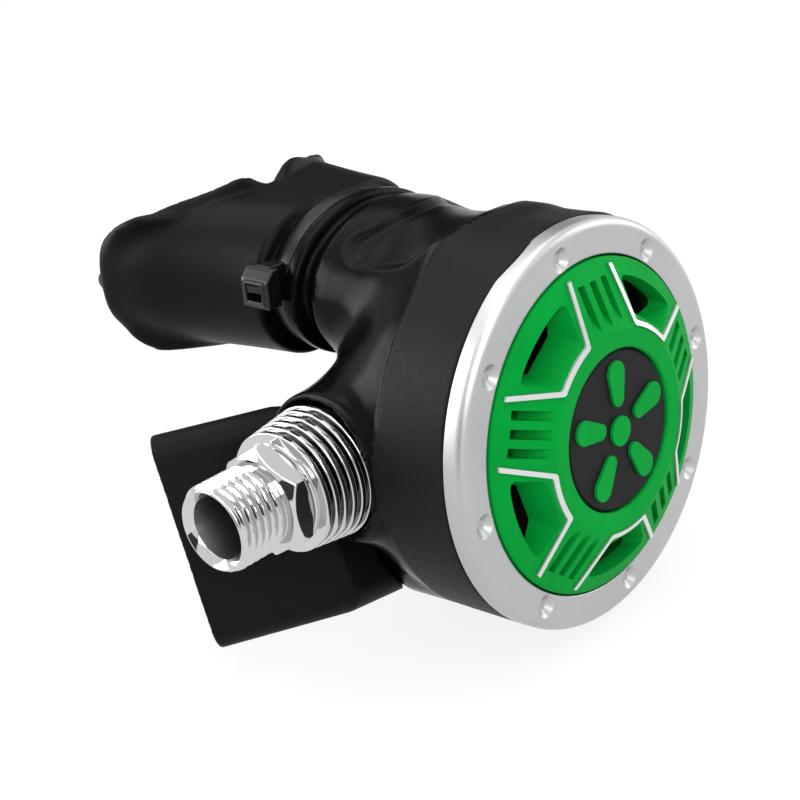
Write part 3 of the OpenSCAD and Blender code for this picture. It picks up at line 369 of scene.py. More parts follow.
def material(name, color, rough, metal=0.0, vary=0.03, grain=0.3, bump=0.05, rough_vary=0.06, specular=0.5,
             seam=False):
    """A procedural material: colour and roughness that wander a little, and grain as bump. Grain is in mm.
    With seam, the mould's parting line runs over it in the drum's middle plane."""
    m = bpy.data.materials.new(name)
    m.use_nodes = True
    tree = m.node_tree
    tree.nodes.clear()
    link = tree.links.new

    def node(kind, **values):
        n = tree.nodes.new(kind)
        for k, v in values.items():
            if k in n.inputs:
                n.inputs[k].default_value = v
            else:
                setattr(n, k, v)
        return n

    def noise(**values):
        n = node("ShaderNodeTexNoise", **values)
        link(coord.outputs["Object"], n.inputs["Vector"])
        return n.outputs["Fac"]

    def spread(value, **ends):
        n = node("ShaderNodeMapRange", **{"From Min": 0.3, "From Max": 0.7}, **ends)
        link(value, n.inputs["Value"])
        return n.outputs[0]

    out = node("ShaderNodeOutputMaterial")
    bsdf = node("ShaderNodeBsdfPrincipled", **{"Metallic": metal, "Specular IOR Level": specular})
    link(bsdf.outputs[0], out.inputs[0])
    coord = node("ShaderNodeTexCoord")
    wide = noise(Scale=90.0, Detail=3.0, Roughness=0.55)
    mix = node("ShaderNodeMix", data_type="RGBA")
    link(spread(wide), mix.inputs[0])
    mix.inputs[6].default_value = (*(max(0.0, c * (1 - vary)) for c in color), 1)
    mix.inputs[7].default_value = (*(min(1.0, c * (1 + vary)) for c in color), 1)
    link(mix.outputs[2], bsdf.inputs["Base Color"])
    small = noise(Scale=1000.0 / grain, Detail=2.0, Roughness=0.6)
    rough_ends = {"To Min": max(0.02, rough - rough_vary), "To Max": min(1.0, rough + rough_vary)}
    link(spread(small, **rough_ends), bsdf.inputs["Roughness"])
    grains = node("ShaderNodeBump", Strength=min(1.0, bump * 6), Distance=bump / 1000)
    link(small, grains.inputs["Height"])
    link(grains.outputs[0], bsdf.inputs["Normal"])
    if seam:
        parts = node("ShaderNodeSeparateXYZ")
        link(coord.outputs["Object"], parts.inputs[0])
        on_line = node("ShaderNodeMath", operation="COMPARE")
        link(parts.outputs[0], on_line.inputs[0])
        on_line.inputs[1].default_value = DRUM[0] / 1000
        on_line.inputs[2].default_value = SEAM_HALF
        line = node("ShaderNodeBump", Strength=0.6, Distance=SEAM_HEIGHT)
        link(on_line.outputs[0], line.inputs["Height"])
        link(grains.outputs[0], line.inputs["Normal"])
        link(line.outputs[0], bsdf.inputs["Normal"])
    return m


GREEN = (0.0008, 0.28, 0.036)
case_black = material("case_black", (0.002, 0.002, 0.0022), 0.24, grain=1.6, bump=0.02, rough_vary=0.04, vary=0.12,
                      specular=0.06, seam=True)
band_black = material("band_black", (0.006, 0.006, 0.0063), 0.5, grain=0.45, bump=0.05, rough_vary=0.08, vary=0.15,
                      specular=0.1, seam=True)
ring_satin = material("ring_satin", (0.47, 0.47, 0.475), 0.40, metal=1.0, grain=0.12, bump=0.004, rough_vary=0.05)
cover_green = material("cover_green", GREEN, 0.5, grain=0.25, bump=0.02, vary=0.08, specular=0.03)
trim_silver = material("trim_silver", (0.66, 0.67, 0.68), 0.34, metal=0.85, grain=0.15, bump=0.006)
button_black = material("button_black", (0.007, 0.007, 0.0075), 0.52, grain=0.2, bump=0.02, vary=0.15,
                        specular=0.12)
pad_green = material("pad_green", GREEN, 0.46, grain=0.25, bump=0.015, vary=0.08, specular=0.03)
chrome = material("chrome", (0.56, 0.565, 0.575), 0.07, metal=1.0, grain=2.5, bump=0.002, rough_vary=0.03,
                  vary=0.02)
tee_rubber = material("tee_rubber", (0.005, 0.005, 0.0053), 0.52, grain=0.22, bump=0.03, vary=0.15, specular=0.1)
silicone = material("mouth_silicone", (0.002, 0.002, 0.0022), 0.42, grain=0.35, bump=0.05, vary=0.12,
                    specular=0.09)
bore_steel = material("bore_steel", (0.30, 0.30, 0.31), 0.32, metal=1.0, grain=0.3, bump=0.004, rough_vary=0.05)
nylon = material("tie_nylon", (0.004, 0.004, 0.0043), 0.3, grain=0.5, bump=0.01, vary=0.1, specular=0.3)
knob_black = material("knob_black", (0.008, 0.008, 0.0085), 0.45, grain=0.25, bump=0.02, vary=0.12,
                      specular=0.15)
inner_plastic = material("inner_plastic", (0.008, 0.008, 0.0085), 0.5, grain=0.3, bump=0.02, vary=0.1,
                         specular=0.15)
clear_silicone = material("clear_silicone", (0.10, 0.10, 0.105), 0.4, grain=0.5, bump=0.01, vary=0.1)
steel = material("steel", (0.60, 0.60, 0.61), 0.28, metal=1.0, grain=0.15, bump=0.004)
brass = material("brass", (0.68, 0.50, 0.22), 0.25, metal=1.0, grain=0.3, bump=0.004)
white_plastic = material("white_plastic", (0.72, 0.72, 0.70), 0.4, grain=0.3, bump=0.01)
seal_rubber = material("seal_rubber", (0.010, 0.010, 0.010), 0.45, grain=0.2, bump=0.01, vary=0.1, specular=0.2)

CAD_LOOKS = (
    (case_black, "case"), (ring_satin, "face_ring"), (cover_green, "front_cover"), (trim_silver, "window_trim"),
    (button_black, "purge_button"), (pad_green, "button_pads"),
    (steel, "purge_spring", "poppet_spring", "diaphragm_plate", "demand_lever", "adjusting_screw"),
    (inner_plastic, "purge_spider", "knob_gland", "flow_vane", "exhaust_spider"),
    (clear_silicone, "diaphragm", "exhaust_valve"), (white_plastic, "diaphragm_washer", "poppet", "spring_pad"),
    (brass, "valve_barrel", "orifice", "poppet_nut"),
    (seal_rubber, "seat_disc", "inlet_seal", "gland_seal", "screw_seal"),
    (knob_black, "adjusting_knob", "vane_lever"), (chrome, "heat_exchanger", "inlet_fitting"),
    (tee_rubber, "exhaust_tee"), (silicone, "mouthpiece"), (nylon, "mouthpiece_tie"))
for mat, *names in CAD_LOOKS:
    for name in names:
        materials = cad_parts[name].data.materials
        materials.clear()
        materials.append(mat)


# ---- Case ----

CREST_X, CREST_RISE, CREST_HALF = 11.0, 0.45, 6.0       # the band's two low crests beside the neck
CREST_Z, CREST_Z_OVER, CREST_Y, CREST_Y_OVER = 17, 9, 6.5, 11
CREST_S, CREST_S_OVER, NECK_CREST, CREST_BLEND = 5, 6, 0.8, 3.0
BAND_TAPER = 0.3
WALL_Y = RIM + 0.05
INNER_R, INNER_DEPTH = 29.7, 23.6                       # the bowl's inside
SHELF_Y, SHELF_R, SOCKET_R = 12.0, 27.0, 31.05          # the diaphragm's shelf, and the ring skirt's socket
BARREL_BORE, SLEEVE_SEAT_R, SLEEVE_SEAT_X, KNOB_CLEAR_R = 7.6, 11.3, 29.6, 10.7
VANE_S, VANE_HOLE_R = 18.0, 2.1
PORT_BORE, PORT_BORE_BACK, PORT_SEAT_R = 12.0, 14, 13.4
NECK_PROFILE = ([-6, 0, 4, 12, 18, 20.4, 21.4, 22.4, 23.3, 23.9, 24.05],
                [12.6, 12.8, 13.0, 13.2, 13.2, 13.1, 12.7, 12.0, 11.8, 12.0, 12.2])
NECK_START, NECK_STOP = 4, 24.6
LIP_R, LIP_FROM, SPIGOT_FROM = 13.5, 24.1, 20

# The recess over the neck: half its outline, as an angle round the neck and a place along it, and its depth
SCOOP_A, SCOOP_B, SCOOP_OUT, SCOOP_EDGE, FAR = 18.5, 13.0, 0.6, 2.4, 5.0
SCOOP_HALF = [(0, 13.0), (10.9, 13.27), (20.2, 14.18), (28.3, 15.28), (37.4, 17.09), (46.4, 16.64), (53.3, 15.1),
              (56.3, 13.1), (55.3, 8.93), (51.4, 4.28), (45.4, 2.25), (35.4, 1.03), (23.2, 0.7), (11.9, -0.4),
              (0, -0.6)]
SCOOP_DEPTH = ([0, 4, 12, 18], [2.1, 2.0, 1.2, 1.0])
SCOOP_ANGLES = np.radians(np.linspace(0, 90, 181))
SCOOP_STEPS = np.hypot(SCOOP_A * np.cos(SCOOP_ANGLES), SCOOP_B * np.sin(SCOOP_ANGLES))
SCOOP_ARC = np.concatenate([[0], np.cumsum((SCOOP_STEPS[1:] + SCOOP_STEPS[:-1]) / 2 * np.diff(SCOOP_ANGLES))])


def scoop_outline():
    """Distance to the recess's outline, by arc length from its top and place along the neck."""
    pts = [(float(np.interp(math.radians(t), SCOOP_ANGLES, SCOOP_ARC)), s) for t, s in SCOOP_HALF]
    pts = pts + [(-l, s) for l, s in reversed(pts[1:-1])]
    return Outline(spline_loop(pts, 5), (-1, -10), (30, 30))


SCOOP = scoop_outline()


def scoop_depth(u, s, v):
    t = np.arctan2(np.abs(u) / SCOOP_A, v / SCOOP_B)
    d = np.where(v > 0, SCOOP(np.interp(t, SCOOP_ANGLES, SCOOP_ARC), s), FAR)
    return np.interp(s, *SCOOP_DEPTH) * step01((SCOOP_OUT - d) / SCOOP_EDGE)


def case_field(x, y, z):
    """Distance to the case: its outer forms are joined, then the bores and seats are cut."""
    rr = np.hypot(x, z)
    top = step01((z - CREST_Z) / CREST_Z_OVER) * np.exp(-((np.abs(x) - CREST_X) / CREST_HALF) ** 2)
    band_r = (DRUM_R - BAND_TAPER * np.clip((y - RIM) / (BAND_END - RIM), 0, 1)
              + CREST_RISE * step01((y - CREST_Y) / CREST_Y_OVER) * top)
    band = smax(smax(rr - band_r, y - BAND_END, 0.5), WALL_Y - y, 0.4)
    yy = np.maximum(y - BOWL_Y, 0)
    bowl = np.maximum(oval_field(rr, yy, BOWL_R, BOWL_DEPTH), WALL_Y - y)
    boss = smax(np.hypot(y - AXIS_Y, z) - BOSS_R, np.abs(x) - BOSS_HALF, 1.2)
    bulge = smax(smax(np.hypot(x, z + BULGE_DROP) - BULGE_R, y - BULGE_Y, 3), BULGE_FRONT - y, 1)
    u, s, v = neck_coords(x, y, z)
    b = np.interp(s, *NECK_PROFILE)
    neck = oval_field(u, v, OVAL * b, b) - NECK_CREST * CREST_RISE * step01((CREST_S - s) / CREST_S_OVER) * top
    neck = neck + np.where(neck < 3, scoop_depth(u, s, v), 0)
    neck = smax(smax(neck, s - NECK_STOP, 0.5), -NECK_START - s, 1)
    lip = smax(smax(oval_field(u, v, OVAL * LIP_R, LIP_R), s - NECK_LEN, 0.6), LIP_FROM - s, 0.9)
    spigot = np.maximum(oval_field(u, v, OVAL * SPIGOT_R, SPIGOT_R),
                        np.maximum(s - NECK_LEN - SPIGOT_LEN, SPIGOT_FROM - s))
    f = smin(smin(smin(bowl, boss, 6), bulge, 4), neck, 4)
    f = smin(f, band, 0.2 + CREST_BLEND * top)
    f = np.minimum(np.minimum(f, port_field(x, y, z)), np.minimum(lip, spigot))
    barrel = np.hypot(y - AXIS_Y, z)
    px, ps, pz = port_coords(x, y, z)
    port = np.hypot(px, pz)
    inner = np.where(y < BAND_END, rr - SHELF_R, oval_field(rr, yy, INNER_R, INNER_DEPTH))
    for gone in (
            np.maximum(inner, SHELF_Y - y),
            np.maximum(rr - SOCKET_R, y - SHELF_Y),
            barrel - BARREL_BORE,
            np.maximum(barrel - SLEEVE_SEAT_R, x + SLEEVE_SEAT_X),
            np.maximum(barrel - KNOB_CLEAR_R, BOSS_HALF - x),
            np.maximum(oval_field(u, v, OVAL * BREATH_R, BREATH_R), -s),
            np.maximum(np.hypot(s - VANE_S, v) - VANE_HOLE_R, -u),
            np.maximum(port - PORT_BORE, -PORT_BORE_BACK - ps),
            np.maximum(port - PORT_SEAT_R, PORT_LEN - ps)):
        f = np.maximum(f, -gone)
    return f


verts, faces = nets(case_field, (-34.5, 2.5, -38), (34.5, 60, 36), STEP)
case = make("case_shell", verts, faces, case_black, ("case",))
case.data.materials.append(band_black)
middle = np.array([polygon.center for polygon in case.data.polygons]) * 1000 - DRUM
on_band = (middle[:, 1] < BAND_END + 0.1) & (np.hypot(middle[:, 0], middle[:, 2]) > BOWL_R - 0.1)
case.data.polygons.foreach_set("material_index", on_band.astype(np.int32))


# ---- Exhaust tee ----

TEE_WALL, TEE_THICK, TEE_ROUND, TEE_GAP = 1.7, 15.0, 4.0, 0.15
TEE_REACH, TEE_SWEEP, TEE_SLANT = 45.0, math.radians(30), 1.1
TEE_FRONT, TEE_TOP, TEE_BOTTOM, TEE_LEAN = 29.6, 4.8, 31.4, 8.4
TEE_FALL, TEE_LIFT = 6.0, 3.0                           # slope of a wing's top and of its floor
TEE_ROOT, TEE_STEP, TEE_SWELL, TEE_DIP, TEE_SAG = 24.0, 3.4, 7.0, 1.6, 2.0   # the swell towards the root


def tee_outer(x, y, z, inset=0.0):
    """Distance to the tee's two leaning wings, which swell towards their root."""
    ax = np.maximum(np.abs(x), TEE_ROOT / 6)
    swell = np.clip(1 - ax / TEE_ROOT, 0, 1)
    front = TEE_FRONT + ax * math.tan(TEE_SWEEP) + TEE_STEP * swell
    top = TEE_TOP - (TEE_TOP + TEE_DIP) * swell - inset
    bottom = -TEE_BOTTOM - TEE_SAG * swell + inset
    lean = TEE_LEAN * (1 - swell)
    thick = TEE_THICK + TEE_SWELL * swell
    r = TEE_ROUND - inset
    corners = [(front + inset + r, top - r), (front + thick - inset - r, top - r - TEE_FALL),
               (front - lean + thick - inset - r, bottom + r + TEE_LIFT), (front - lean + inset + r, bottom + r)]
    return quad_field(y, z, corners, r) * math.cos(TEE_SWEEP)


def tee_field(x, y, z):
    """Distance to the tee: hollow wings with slanted ends, cut clear of the case."""
    ax = np.abs(x)
    edge = TEE_FRONT + TEE_REACH * math.tan(TEE_SWEEP)
    lean_y = edge - TEE_LEAN * (TEE_TOP - z) / (TEE_TOP + TEE_BOTTOM)
    end = (ax - TEE_REACH + TEE_SLANT * (y - lean_y)) / math.hypot(1, TEE_SLANT)
    body = smax(smax(tee_outer(x, y, z), -tee_outer(x, y, z, TEE_WALL), 0.3), end, 0.5)
    bowl = oval_field(np.hypot(x, z), np.maximum(y - BOWL_Y, 0), BOWL_R, BOWL_DEPTH)
    boss = np.maximum(np.hypot(y - AXIS_Y, z) - BOSS_R, ax - BOSS_HALF)
    bulge = smax(np.maximum(np.hypot(x, z + BULGE_DROP) - BULGE_R, y - BULGE_Y), BULGE_FRONT - y, 1)
    gone = np.minimum(smin(smin(bowl, boss, 5), bulge, 4), port_field(x, y, z))
    return smax(body, TEE_GAP - gone, 0.3)


verts, faces = nets(tee_field, (-47, 18, -35), (47, 74, 8), STEP)
make("exhaust_tee_skin", verts, faces, tee_rubber, ("exhaust_tee",))


# ---- Mouthpiece ----

MOUTH_FROM, MOUTH_END, MOUTH_WALL = 30.9, 64.2, 2.2
MOUTH_S = [26, 30.9, 39.0, 47.2, 56.9, 63.4, 68]        # along the neck, then half width, half height, corners
MOUTH_W = [19.8, 20.2, 21.2, 22.8, 25.3, 26.2, 26.4]
MOUTH_H = [13.0, 13.0, 13.0, 12.9, 12.4, 11.4, 10.6]
MOUTH_CORNER = [12.9, 12.9, 12.7, 12.4, 11.6, 10.0, 9.2]
CUFF_R, CUFF_FROM, CUFF_TO, CUFF_BORE, CUFF_BORE_TO, GROOVE_GAP = 13.15, 26.75, 32, 10.95, 38.8, 0.06
HOLLOW_FROM, HOLLOW_OVER = 38.0, 9.5                    # where the bore widens to the mouthpiece's inside
SHIELD_R, SHIELD_S, SHIELD_T, SHIELD_END, SHIELD_ROOT = 27.5, 73.1, 2.0, 71, 26.2
BEAD_R, BEAD_OUT, BEAD_IN, BEAD_TOP, BEAD_SIDE = 0.95, 0.1, 0.9, 9.5, 24.5
TAB_FROM, TAB_TO, TAB_SIDE = 42, 75, 25.8               # the bite tabs: from and to this angle round the shield
LEAF_R, LEAF_HALF, LEAF_T = 21.2, 5.6, 1.3
GRIP_R, GRIP_HALF, GRIP_RISE = 16.5, 1.05, 5.0
SHIELD_SIDE = [(20.6, 11.9), (22.6, 11.5), (24.4, 10.1), (25.2, 8.5), (25.6, 6.1), (25.8, 3.4), (25.9, 0.6),
               (25.8, -2.3), (25.6, -4.5), (25.2, -7.2), (24.8, -9.6), (24.0, -11.2), (22.9, -12.3),
               (21.0, -13.1), (11.0, -13.3), (6.0, -13.6)]
SHIELD_DROOP, DROOP_FROM, DROOP_OVER = 1.2, 8, 8
EAR = [(1.5, 12.0), (1.9, 12.7), (3.0, 13.9), (4.3, 14.8), (6.0, 15.2), (7.4, 15.2), (9.0, 14.9), (11.5, 14.4),
       (14.0, 13.9), (17.0, 13.3), (19.3, 12.5)]


def mirrored(half):
    """The outline of a half outline and its mirror image, as a distance."""
    return Outline(spline_loop(half + [(-x, y) for x, y in reversed(half)], 4), (-30, -17), (30, 20))


RIM_LINE = mirrored([(4.0, 12.5), (12.0, 12.2)] + SHIELD_SIDE)
SHIELD_LINE = mirrored(EAR + SHIELD_SIDE)


def mouth_outer(u, s, v, inset=0.0):
    """Distance to the body: a rounded slot that flares from the tie to the shield."""
    w, h, r = (curve(s, MOUTH_S, table) - inset for table in (MOUTH_W, MOUTH_H, MOUTH_CORNER))
    qu, qv = np.abs(u) - (w - r), np.abs(v) - (h - r)
    return np.hypot(np.maximum(qu, 0), np.maximum(qv, 0)) + np.minimum(np.maximum(qu, qv), 0) - r


def mouth_field(x, y, z):
    """Distance to the mouthpiece: body, curved shield with its bead, bite tabs, bore and the tie's groove."""
    u, s, v = neck_coords(x, y, z)
    au = np.abs(u)
    rad = np.where(s > SHIELD_S, 0, np.hypot(u, SHIELD_S - s))
    body = smax(smax(mouth_outer(u, s, v), MOUTH_FROM - s, 1.4), SHIELD_ROOT - rad, 1.2)
    body = smax(body, s - MOUTH_END, 1.6)
    cuff = np.maximum(oval_field(u, v, OVAL * CUFF_R, CUFF_R), np.maximum(CUFF_FROM - s, s - CUFF_TO))

    ue = u * SHIELD_R / np.maximum(rad, 1)
    ve = v + SHIELD_DROOP * step01((u - DROOP_FROM) / DROOP_OVER) * step01(v / DROOP_OVER)
    plate = smax(np.abs(rad - SHIELD_R + SHIELD_T / 2) - SHIELD_T / 2, SHIELD_LINE(ue, ve), 1.3)
    plate = np.maximum(plate, s - SHIELD_END)
    bead = np.hypot(rad - SHIELD_R - BEAD_OUT, RIM_LINE(ue, ve) + BEAD_IN) - BEAD_R
    bead = smax(bead, smax(BEAD_TOP - v, au - BEAD_SIDE, 1.0), 1.5)
    outer = smin(smin(body, plate, 1.6), bead, 0.7)
    outer = smax(outer, SHIELD_R - SHIELD_T - rad, 0.8)

    bore = oval_field(u, v, OVAL * BREATH_R, BREATH_R)
    share = step01((s - HOLLOW_FROM) / HOLLOW_OVER)
    hollow = smax(bore * (1 - share) + mouth_outer(u, s, v, MOUTH_WALL) * share, HOLLOW_FROM - s, 0.6)
    f = np.minimum(smax(outer, -hollow, 1.0), cuff)
    f = np.maximum(f, -np.maximum(oval_field(u, v, OVAL * CUFF_BORE, CUFF_BORE), s - CUFF_BORE_TO))

    angle = np.degrees(np.arctan2(au, SHIELD_S - s))
    arc = np.maximum(TAB_FROM - angle, angle - TAB_TO) * np.maximum(rad, 8) * math.pi / 180
    leaf = smax(smax(np.abs(rad - LEAF_R) - LEAF_HALF, np.abs(v) - LEAF_T, 1.4), arc, 1.2)
    grip = smax(smax(np.abs(rad - GRIP_R) - GRIP_HALF, np.abs(v) - GRIP_RISE, 1.2), arc, 1.2)
    f = smin(f, smax(smin(leaf, grip, 1.2), au - TAB_SIDE, 0.8), 1.0)
    groove = smax(np.abs(s - TIE_AT - TIE_W / 2) - TIE_W / 2 - GROOVE_GAP,
                  -oval_field(u, v, OVAL * TIE_IN, TIE_IN), 0.1)
    return np.maximum(f, -groove)


verts, faces = nets(mouth_field, (-31, 44, 2), (31, 94, 42), STEP)
make("mouthpiece_skin", verts, faces, silicone, ("mouthpiece",))


# ---- Cable tie ----

STRAP_STEPS, STRAP_GAP, STRAP_ROUND = 220, 0.02, 0.3


def grid_faces(rows, around, close=True):
    """The four-sided faces between rows of points that each close in a ring. With close, the last row meets
    the first."""
    k, i = np.meshgrid(np.arange(rows if close else rows - 1), np.arange(around), indexing="ij")
    k2, j = (k + 1) % rows, (i + 1) % around
    return np.stack([k * around + i, k2 * around + i, k2 * around + j, k * around + j], 2).reshape(-1, 4)


def strap():
    """The strap's points: an even band round the oval, with a rounded section."""
    a, b = TIE_IN * OVAL, TIE_IN
    section = rounded([(STRAP_GAP, 0), (TIE_T, 0), (TIE_T, TIE_W), (STRAP_GAP, TIE_W)], STRAP_ROUND, 3)
    pts = []
    for t in 2 * math.pi * np.arange(STRAP_STEPS) / STRAP_STEPS:
        nx, nz = math.cos(t) / a, math.sin(t) / b
        size = math.hypot(nx, nz)
        for out, along in section:
            pts.append(neck_point(a * math.cos(t) + nx / size * out, TIE_AT + along,
                                  b * math.sin(t) + nz / size * out))
    return pts, grid_faces(STRAP_STEPS, len(section))


pts, faces = strap()
make("tie_strap", pts, faces, nylon, ("mouthpiece_tie",), sharp=40)

HEAD_H, HEAD_FOOT, HEAD_W, HEAD_LEN = 5.6, 2.7, 6.2, 6.4
HEAD_SLOPE, HEAD_SLOPE_FROM, HEAD_SLOPE_COS = 0.9, 1.4, 0.74
HEAD_T, HEAD_NORMAL = math.radians(15.5), math.radians(1.0)
HEAD_A, HEAD_B = TIE_IN * OVAL + TIE_T, TIE_IN + TIE_T
FRAME_W, HOLE_W, END_W, PAWL_W = 2.25, 1.7, 1.45, 1.0   # half widths of the hole's raised frame and what it holds
TOOTH, TOOTH_PITCH = 0.12, 1.4


def head_field(o, w, l):
    """The tie's head: a block on a narrow foot, with the pawl and the strap's cut end in its square hole.
    The coordinates run out from the strap, along the neck and along the strap."""
    f = block_field(o, w, l, (HEAD_FOOT - 0.1, -HEAD_W / 2, -HEAD_LEN / 2), (HEAD_H, HEAD_W / 2, HEAD_LEN / 2), 0.3)
    f = smax(f, (o - HEAD_H + HEAD_SLOPE * (l - HEAD_SLOPE_FROM)) * HEAD_SLOPE_COS, 0.3)
    foot = block_field(o, w, l, (-0.4, -TIE_W / 2, -HEAD_LEN / 2), (HEAD_FOOT + 0.6, TIE_W / 2, HEAD_LEN / 2), 0.3)
    raised = block_field(o, w, l, (HEAD_H - 0.6, -FRAME_W, -2.5), (HEAD_H + 0.3, FRAME_W, 1.3), 0.2)
    f = smin(smin(f, foot, 0.5), raised, 0.35)
    hole = block_field(o, w, l, (HEAD_FOOT + 0.5, -HOLE_W, -2.0), (HEAD_H + 2, HOLE_W, 0.8), 0.15)
    f = smax(f, -hole, 0.2)
    teeth = TOOTH * np.abs((o * TOOTH_PITCH) % 1.0 - 0.5)
    end_top = HEAD_H + 0.05 + 0.2 * w / 1.5
    end = block_field(o, w, l - teeth, (HEAD_FOOT, -END_W, -0.7), (end_top, END_W, 0.5), 0.1)
    pawl = block_field(o - 0.5 * l, w, l, (HEAD_FOOT, -PAWL_W, 0.4), (HEAD_H - 1.3, PAWL_W, 1.2), 0.1)
    return np.minimum(np.minimum(f, end), pawl)


def place_head(p):
    """The head's points on the strap's left end, in the drum's frame."""
    o, w, l = p.T
    c, n = math.cos(HEAD_NORMAL), math.sin(HEAD_NORMAL)
    u = -HEAD_A * math.cos(HEAD_T) - o * c + l * n
    v = HEAD_B * math.sin(HEAD_T) + o * n + l * c
    return np.stack(neck_point(u, TIE_AT + TIE_W / 2 + w, v), 1)


verts, faces = nets(head_field, (-0.8, -3.4, -3.5), (6.2, 3.4, 3.5), 0.13)
make("tie_head", place_head(verts), faces, nylon, ())


# ---- Inlet fitting and its finned sleeve ----

HEX_X, HEX_LEN, HEX_AF, HEX_BEVEL = -46.1, 4.3, 16.0, 1.35
THREAD_R, THREAD_LEN, THREAD_PITCH, THREAD_DEPTH, THREAD_FADE = 7.14, 9.5, 25.4 / 18, 0.82, 0.6
SHANK_R, SHANK_END, NIPPLE_R, NIPPLE_DEPTH, GAS_R = 5.9, -20.1, 5.0, 12, 3.2
TURN_SIDES, BORE_ROWS = 240, 3


def turned(name, rows, mat, node, sharp=35):
    """A closed revolve about the barrel's axis. Rows hold a place along X and a radius, which may vary by angle."""
    t = 2 * math.pi * np.arange(TURN_SIDES) / TURN_SIDES
    pts = []
    for x, r in rows:
        r = np.broadcast_to(r(t) if callable(r) else r, t.shape)
        pts.append(np.stack([np.full_like(t, x), AXIS_Y + r * np.cos(t), r * np.sin(t)], 1))
    faces = grid_faces(len(rows), TURN_SIDES)[:, [0, 3, 2, 1]]
    return make(name, np.concatenate(pts), faces, mat, (node,), sharp=sharp)


def fitting_rows():
    """The hose fitting: bore, mouth, thread with its relief, hexagon bevelled at both ends, and shank."""
    end = HEX_X - THREAD_LEN
    relief_r = THREAD_R - THREAD_DEPTH
    rows = [(SHANK_END, GAS_R), (end + NIPPLE_DEPTH, GAS_R), (end + NIPPLE_DEPTH, NIPPLE_R),
            (end + 1.1, NIPPLE_R), (end + 1.0, NIPPLE_R + 0.05), (end + 0.04, NIPPLE_R + 1.15),
            (end, NIPPLE_R + 1.2), (end, THREAD_R - 0.75), (end + 0.06, THREAD_R - 0.68)]

    def thread(x):
        fade = min(1.0, max(0.15, (x - end - 0.1) / THREAD_FADE), max(0.0, (HEX_X - 0.95 - x) / THREAD_FADE))

        def radius(t):
            phase = np.abs(((x / THREAD_PITCH + t / (2 * math.pi)) % 1.0) * 2 - 1)
            cut = np.clip(phase * 1.3 - 0.15, 0, 1) * THREAD_DEPTH
            return THREAD_R - THREAD_DEPTH * 0.85 + (THREAD_DEPTH * 0.85 - cut) * fade
        return radius

    def hexagon(d):
        def radius(t):
            turn = (np.degrees(t) - 90) % 60 - 30
            return smin(HEX_AF / 2 / np.cos(np.radians(turn)), HEX_AF / 2 - 0.35 + 1.25 * d, 0.12)
        return radius

    rows += [(float(x), thread(float(x))) for x in np.arange(end + 0.12, HEX_X - 0.9, 0.1)]
    rows += [(HEX_X - 0.85, relief_r), (HEX_X - 0.1, relief_r), (HEX_X, relief_r + 0.1)]
    places = list(np.linspace(0, HEX_BEVEL, 12))
    for d in places + [HEX_LEN / 2] + [HEX_LEN - q for q in reversed(places)]:
        rows.append((HEX_X + d, hexagon(min(d, HEX_LEN - d))))
    return rows + [(HEX_X + HEX_LEN, SHANK_R), (SHANK_END, SHANK_R)]


fitting = turned("inlet_fitting_turned", fitting_rows(), chrome, "inlet_fitting")
fitting.data.materials.append(bore_steel)
for polygon in fitting.data.polygons:
    if polygon.index < BORE_ROWS * TURN_SIDES:
        polygon.material_index = 1

FIN_COUNT, FIN_PITCH, FIN_W, FIN_FIRST, FIN_GROWTH, FIN_ROUND = 6, 1.7, 1.05, 9.9, 1.1, 0.2
FIN_FOOT = ((0.22, 8.3), (0.06, 8.36), (0.0, 8.55))     # steps out from a fin's side, and the radius there
FIN_START_R = 8.1
SLEEVE_TAIL = [(-29.65, 9.3), (-29.65, 7.5), (-29.0, 7.5), (-28.85, 6.45), (-27.75, 6.45), (-27.6, 7.5),
               (-27.05, 7.5)]


def fin_rows():
    """The finned sleeve: six fins that grow towards the case, then the tail with its seal's groove."""
    x0 = HEX_X + HEX_LEN
    foot = FIN_FOOT[0][1]
    out = [(x0, SHANK_R + 0.05), (x0, FIN_START_R), (x0 + 0.2, foot)]
    for i in range(FIN_COUNT):
        r = FIN_FIRST + FIN_GROWTH * i / (FIN_COUNT - 1)
        a, b = x0 + (i + 1) * FIN_PITCH - FIN_W, x0 + (i + 1) * FIN_PITCH
        edge = [(FIN_ROUND * (1 - math.cos(q)), r - FIN_ROUND * (1 - math.sin(q)))
                for q in np.radians([0, 30, 60, 90])]
        out += [(a - d, fr) for d, fr in FIN_FOOT] + [(a + d, er) for d, er in edge]
        out += [(b - d, er) for d, er in reversed(edge)]
        if i < FIN_COUNT - 1:
            out += [(b + d, fr) for d, fr in reversed(FIN_FOOT)]
    tail_r = SLEEVE_TAIL[0][1]
    return out + [(x0 + FIN_COUNT * FIN_PITCH, tail_r)] + SLEEVE_TAIL + [(SLEEVE_TAIL[-1][0], SHANK_R + 0.05)]


turned("heat_fins", fin_rows(), chrome, "heat_exchanger", sharp=40)


# ---- Face ring ----

RING_IN, RING_BEVEL, RING_LIP, SKIRT_OUT, SKIRT_IN, SKIRT_END = 27.2, 1.6, 2.4, 30.95, 29.45, 8.6
DIMPLE_R, DIMPLE_CONE, DIMPLE_DEPTH, DIMPLE_COUNT, DIMPLE_ANGLE = 1.95, 0.62, 1.1, 8, 99.0
RING_SIDES, FACE_STEP = 1440, 0.13


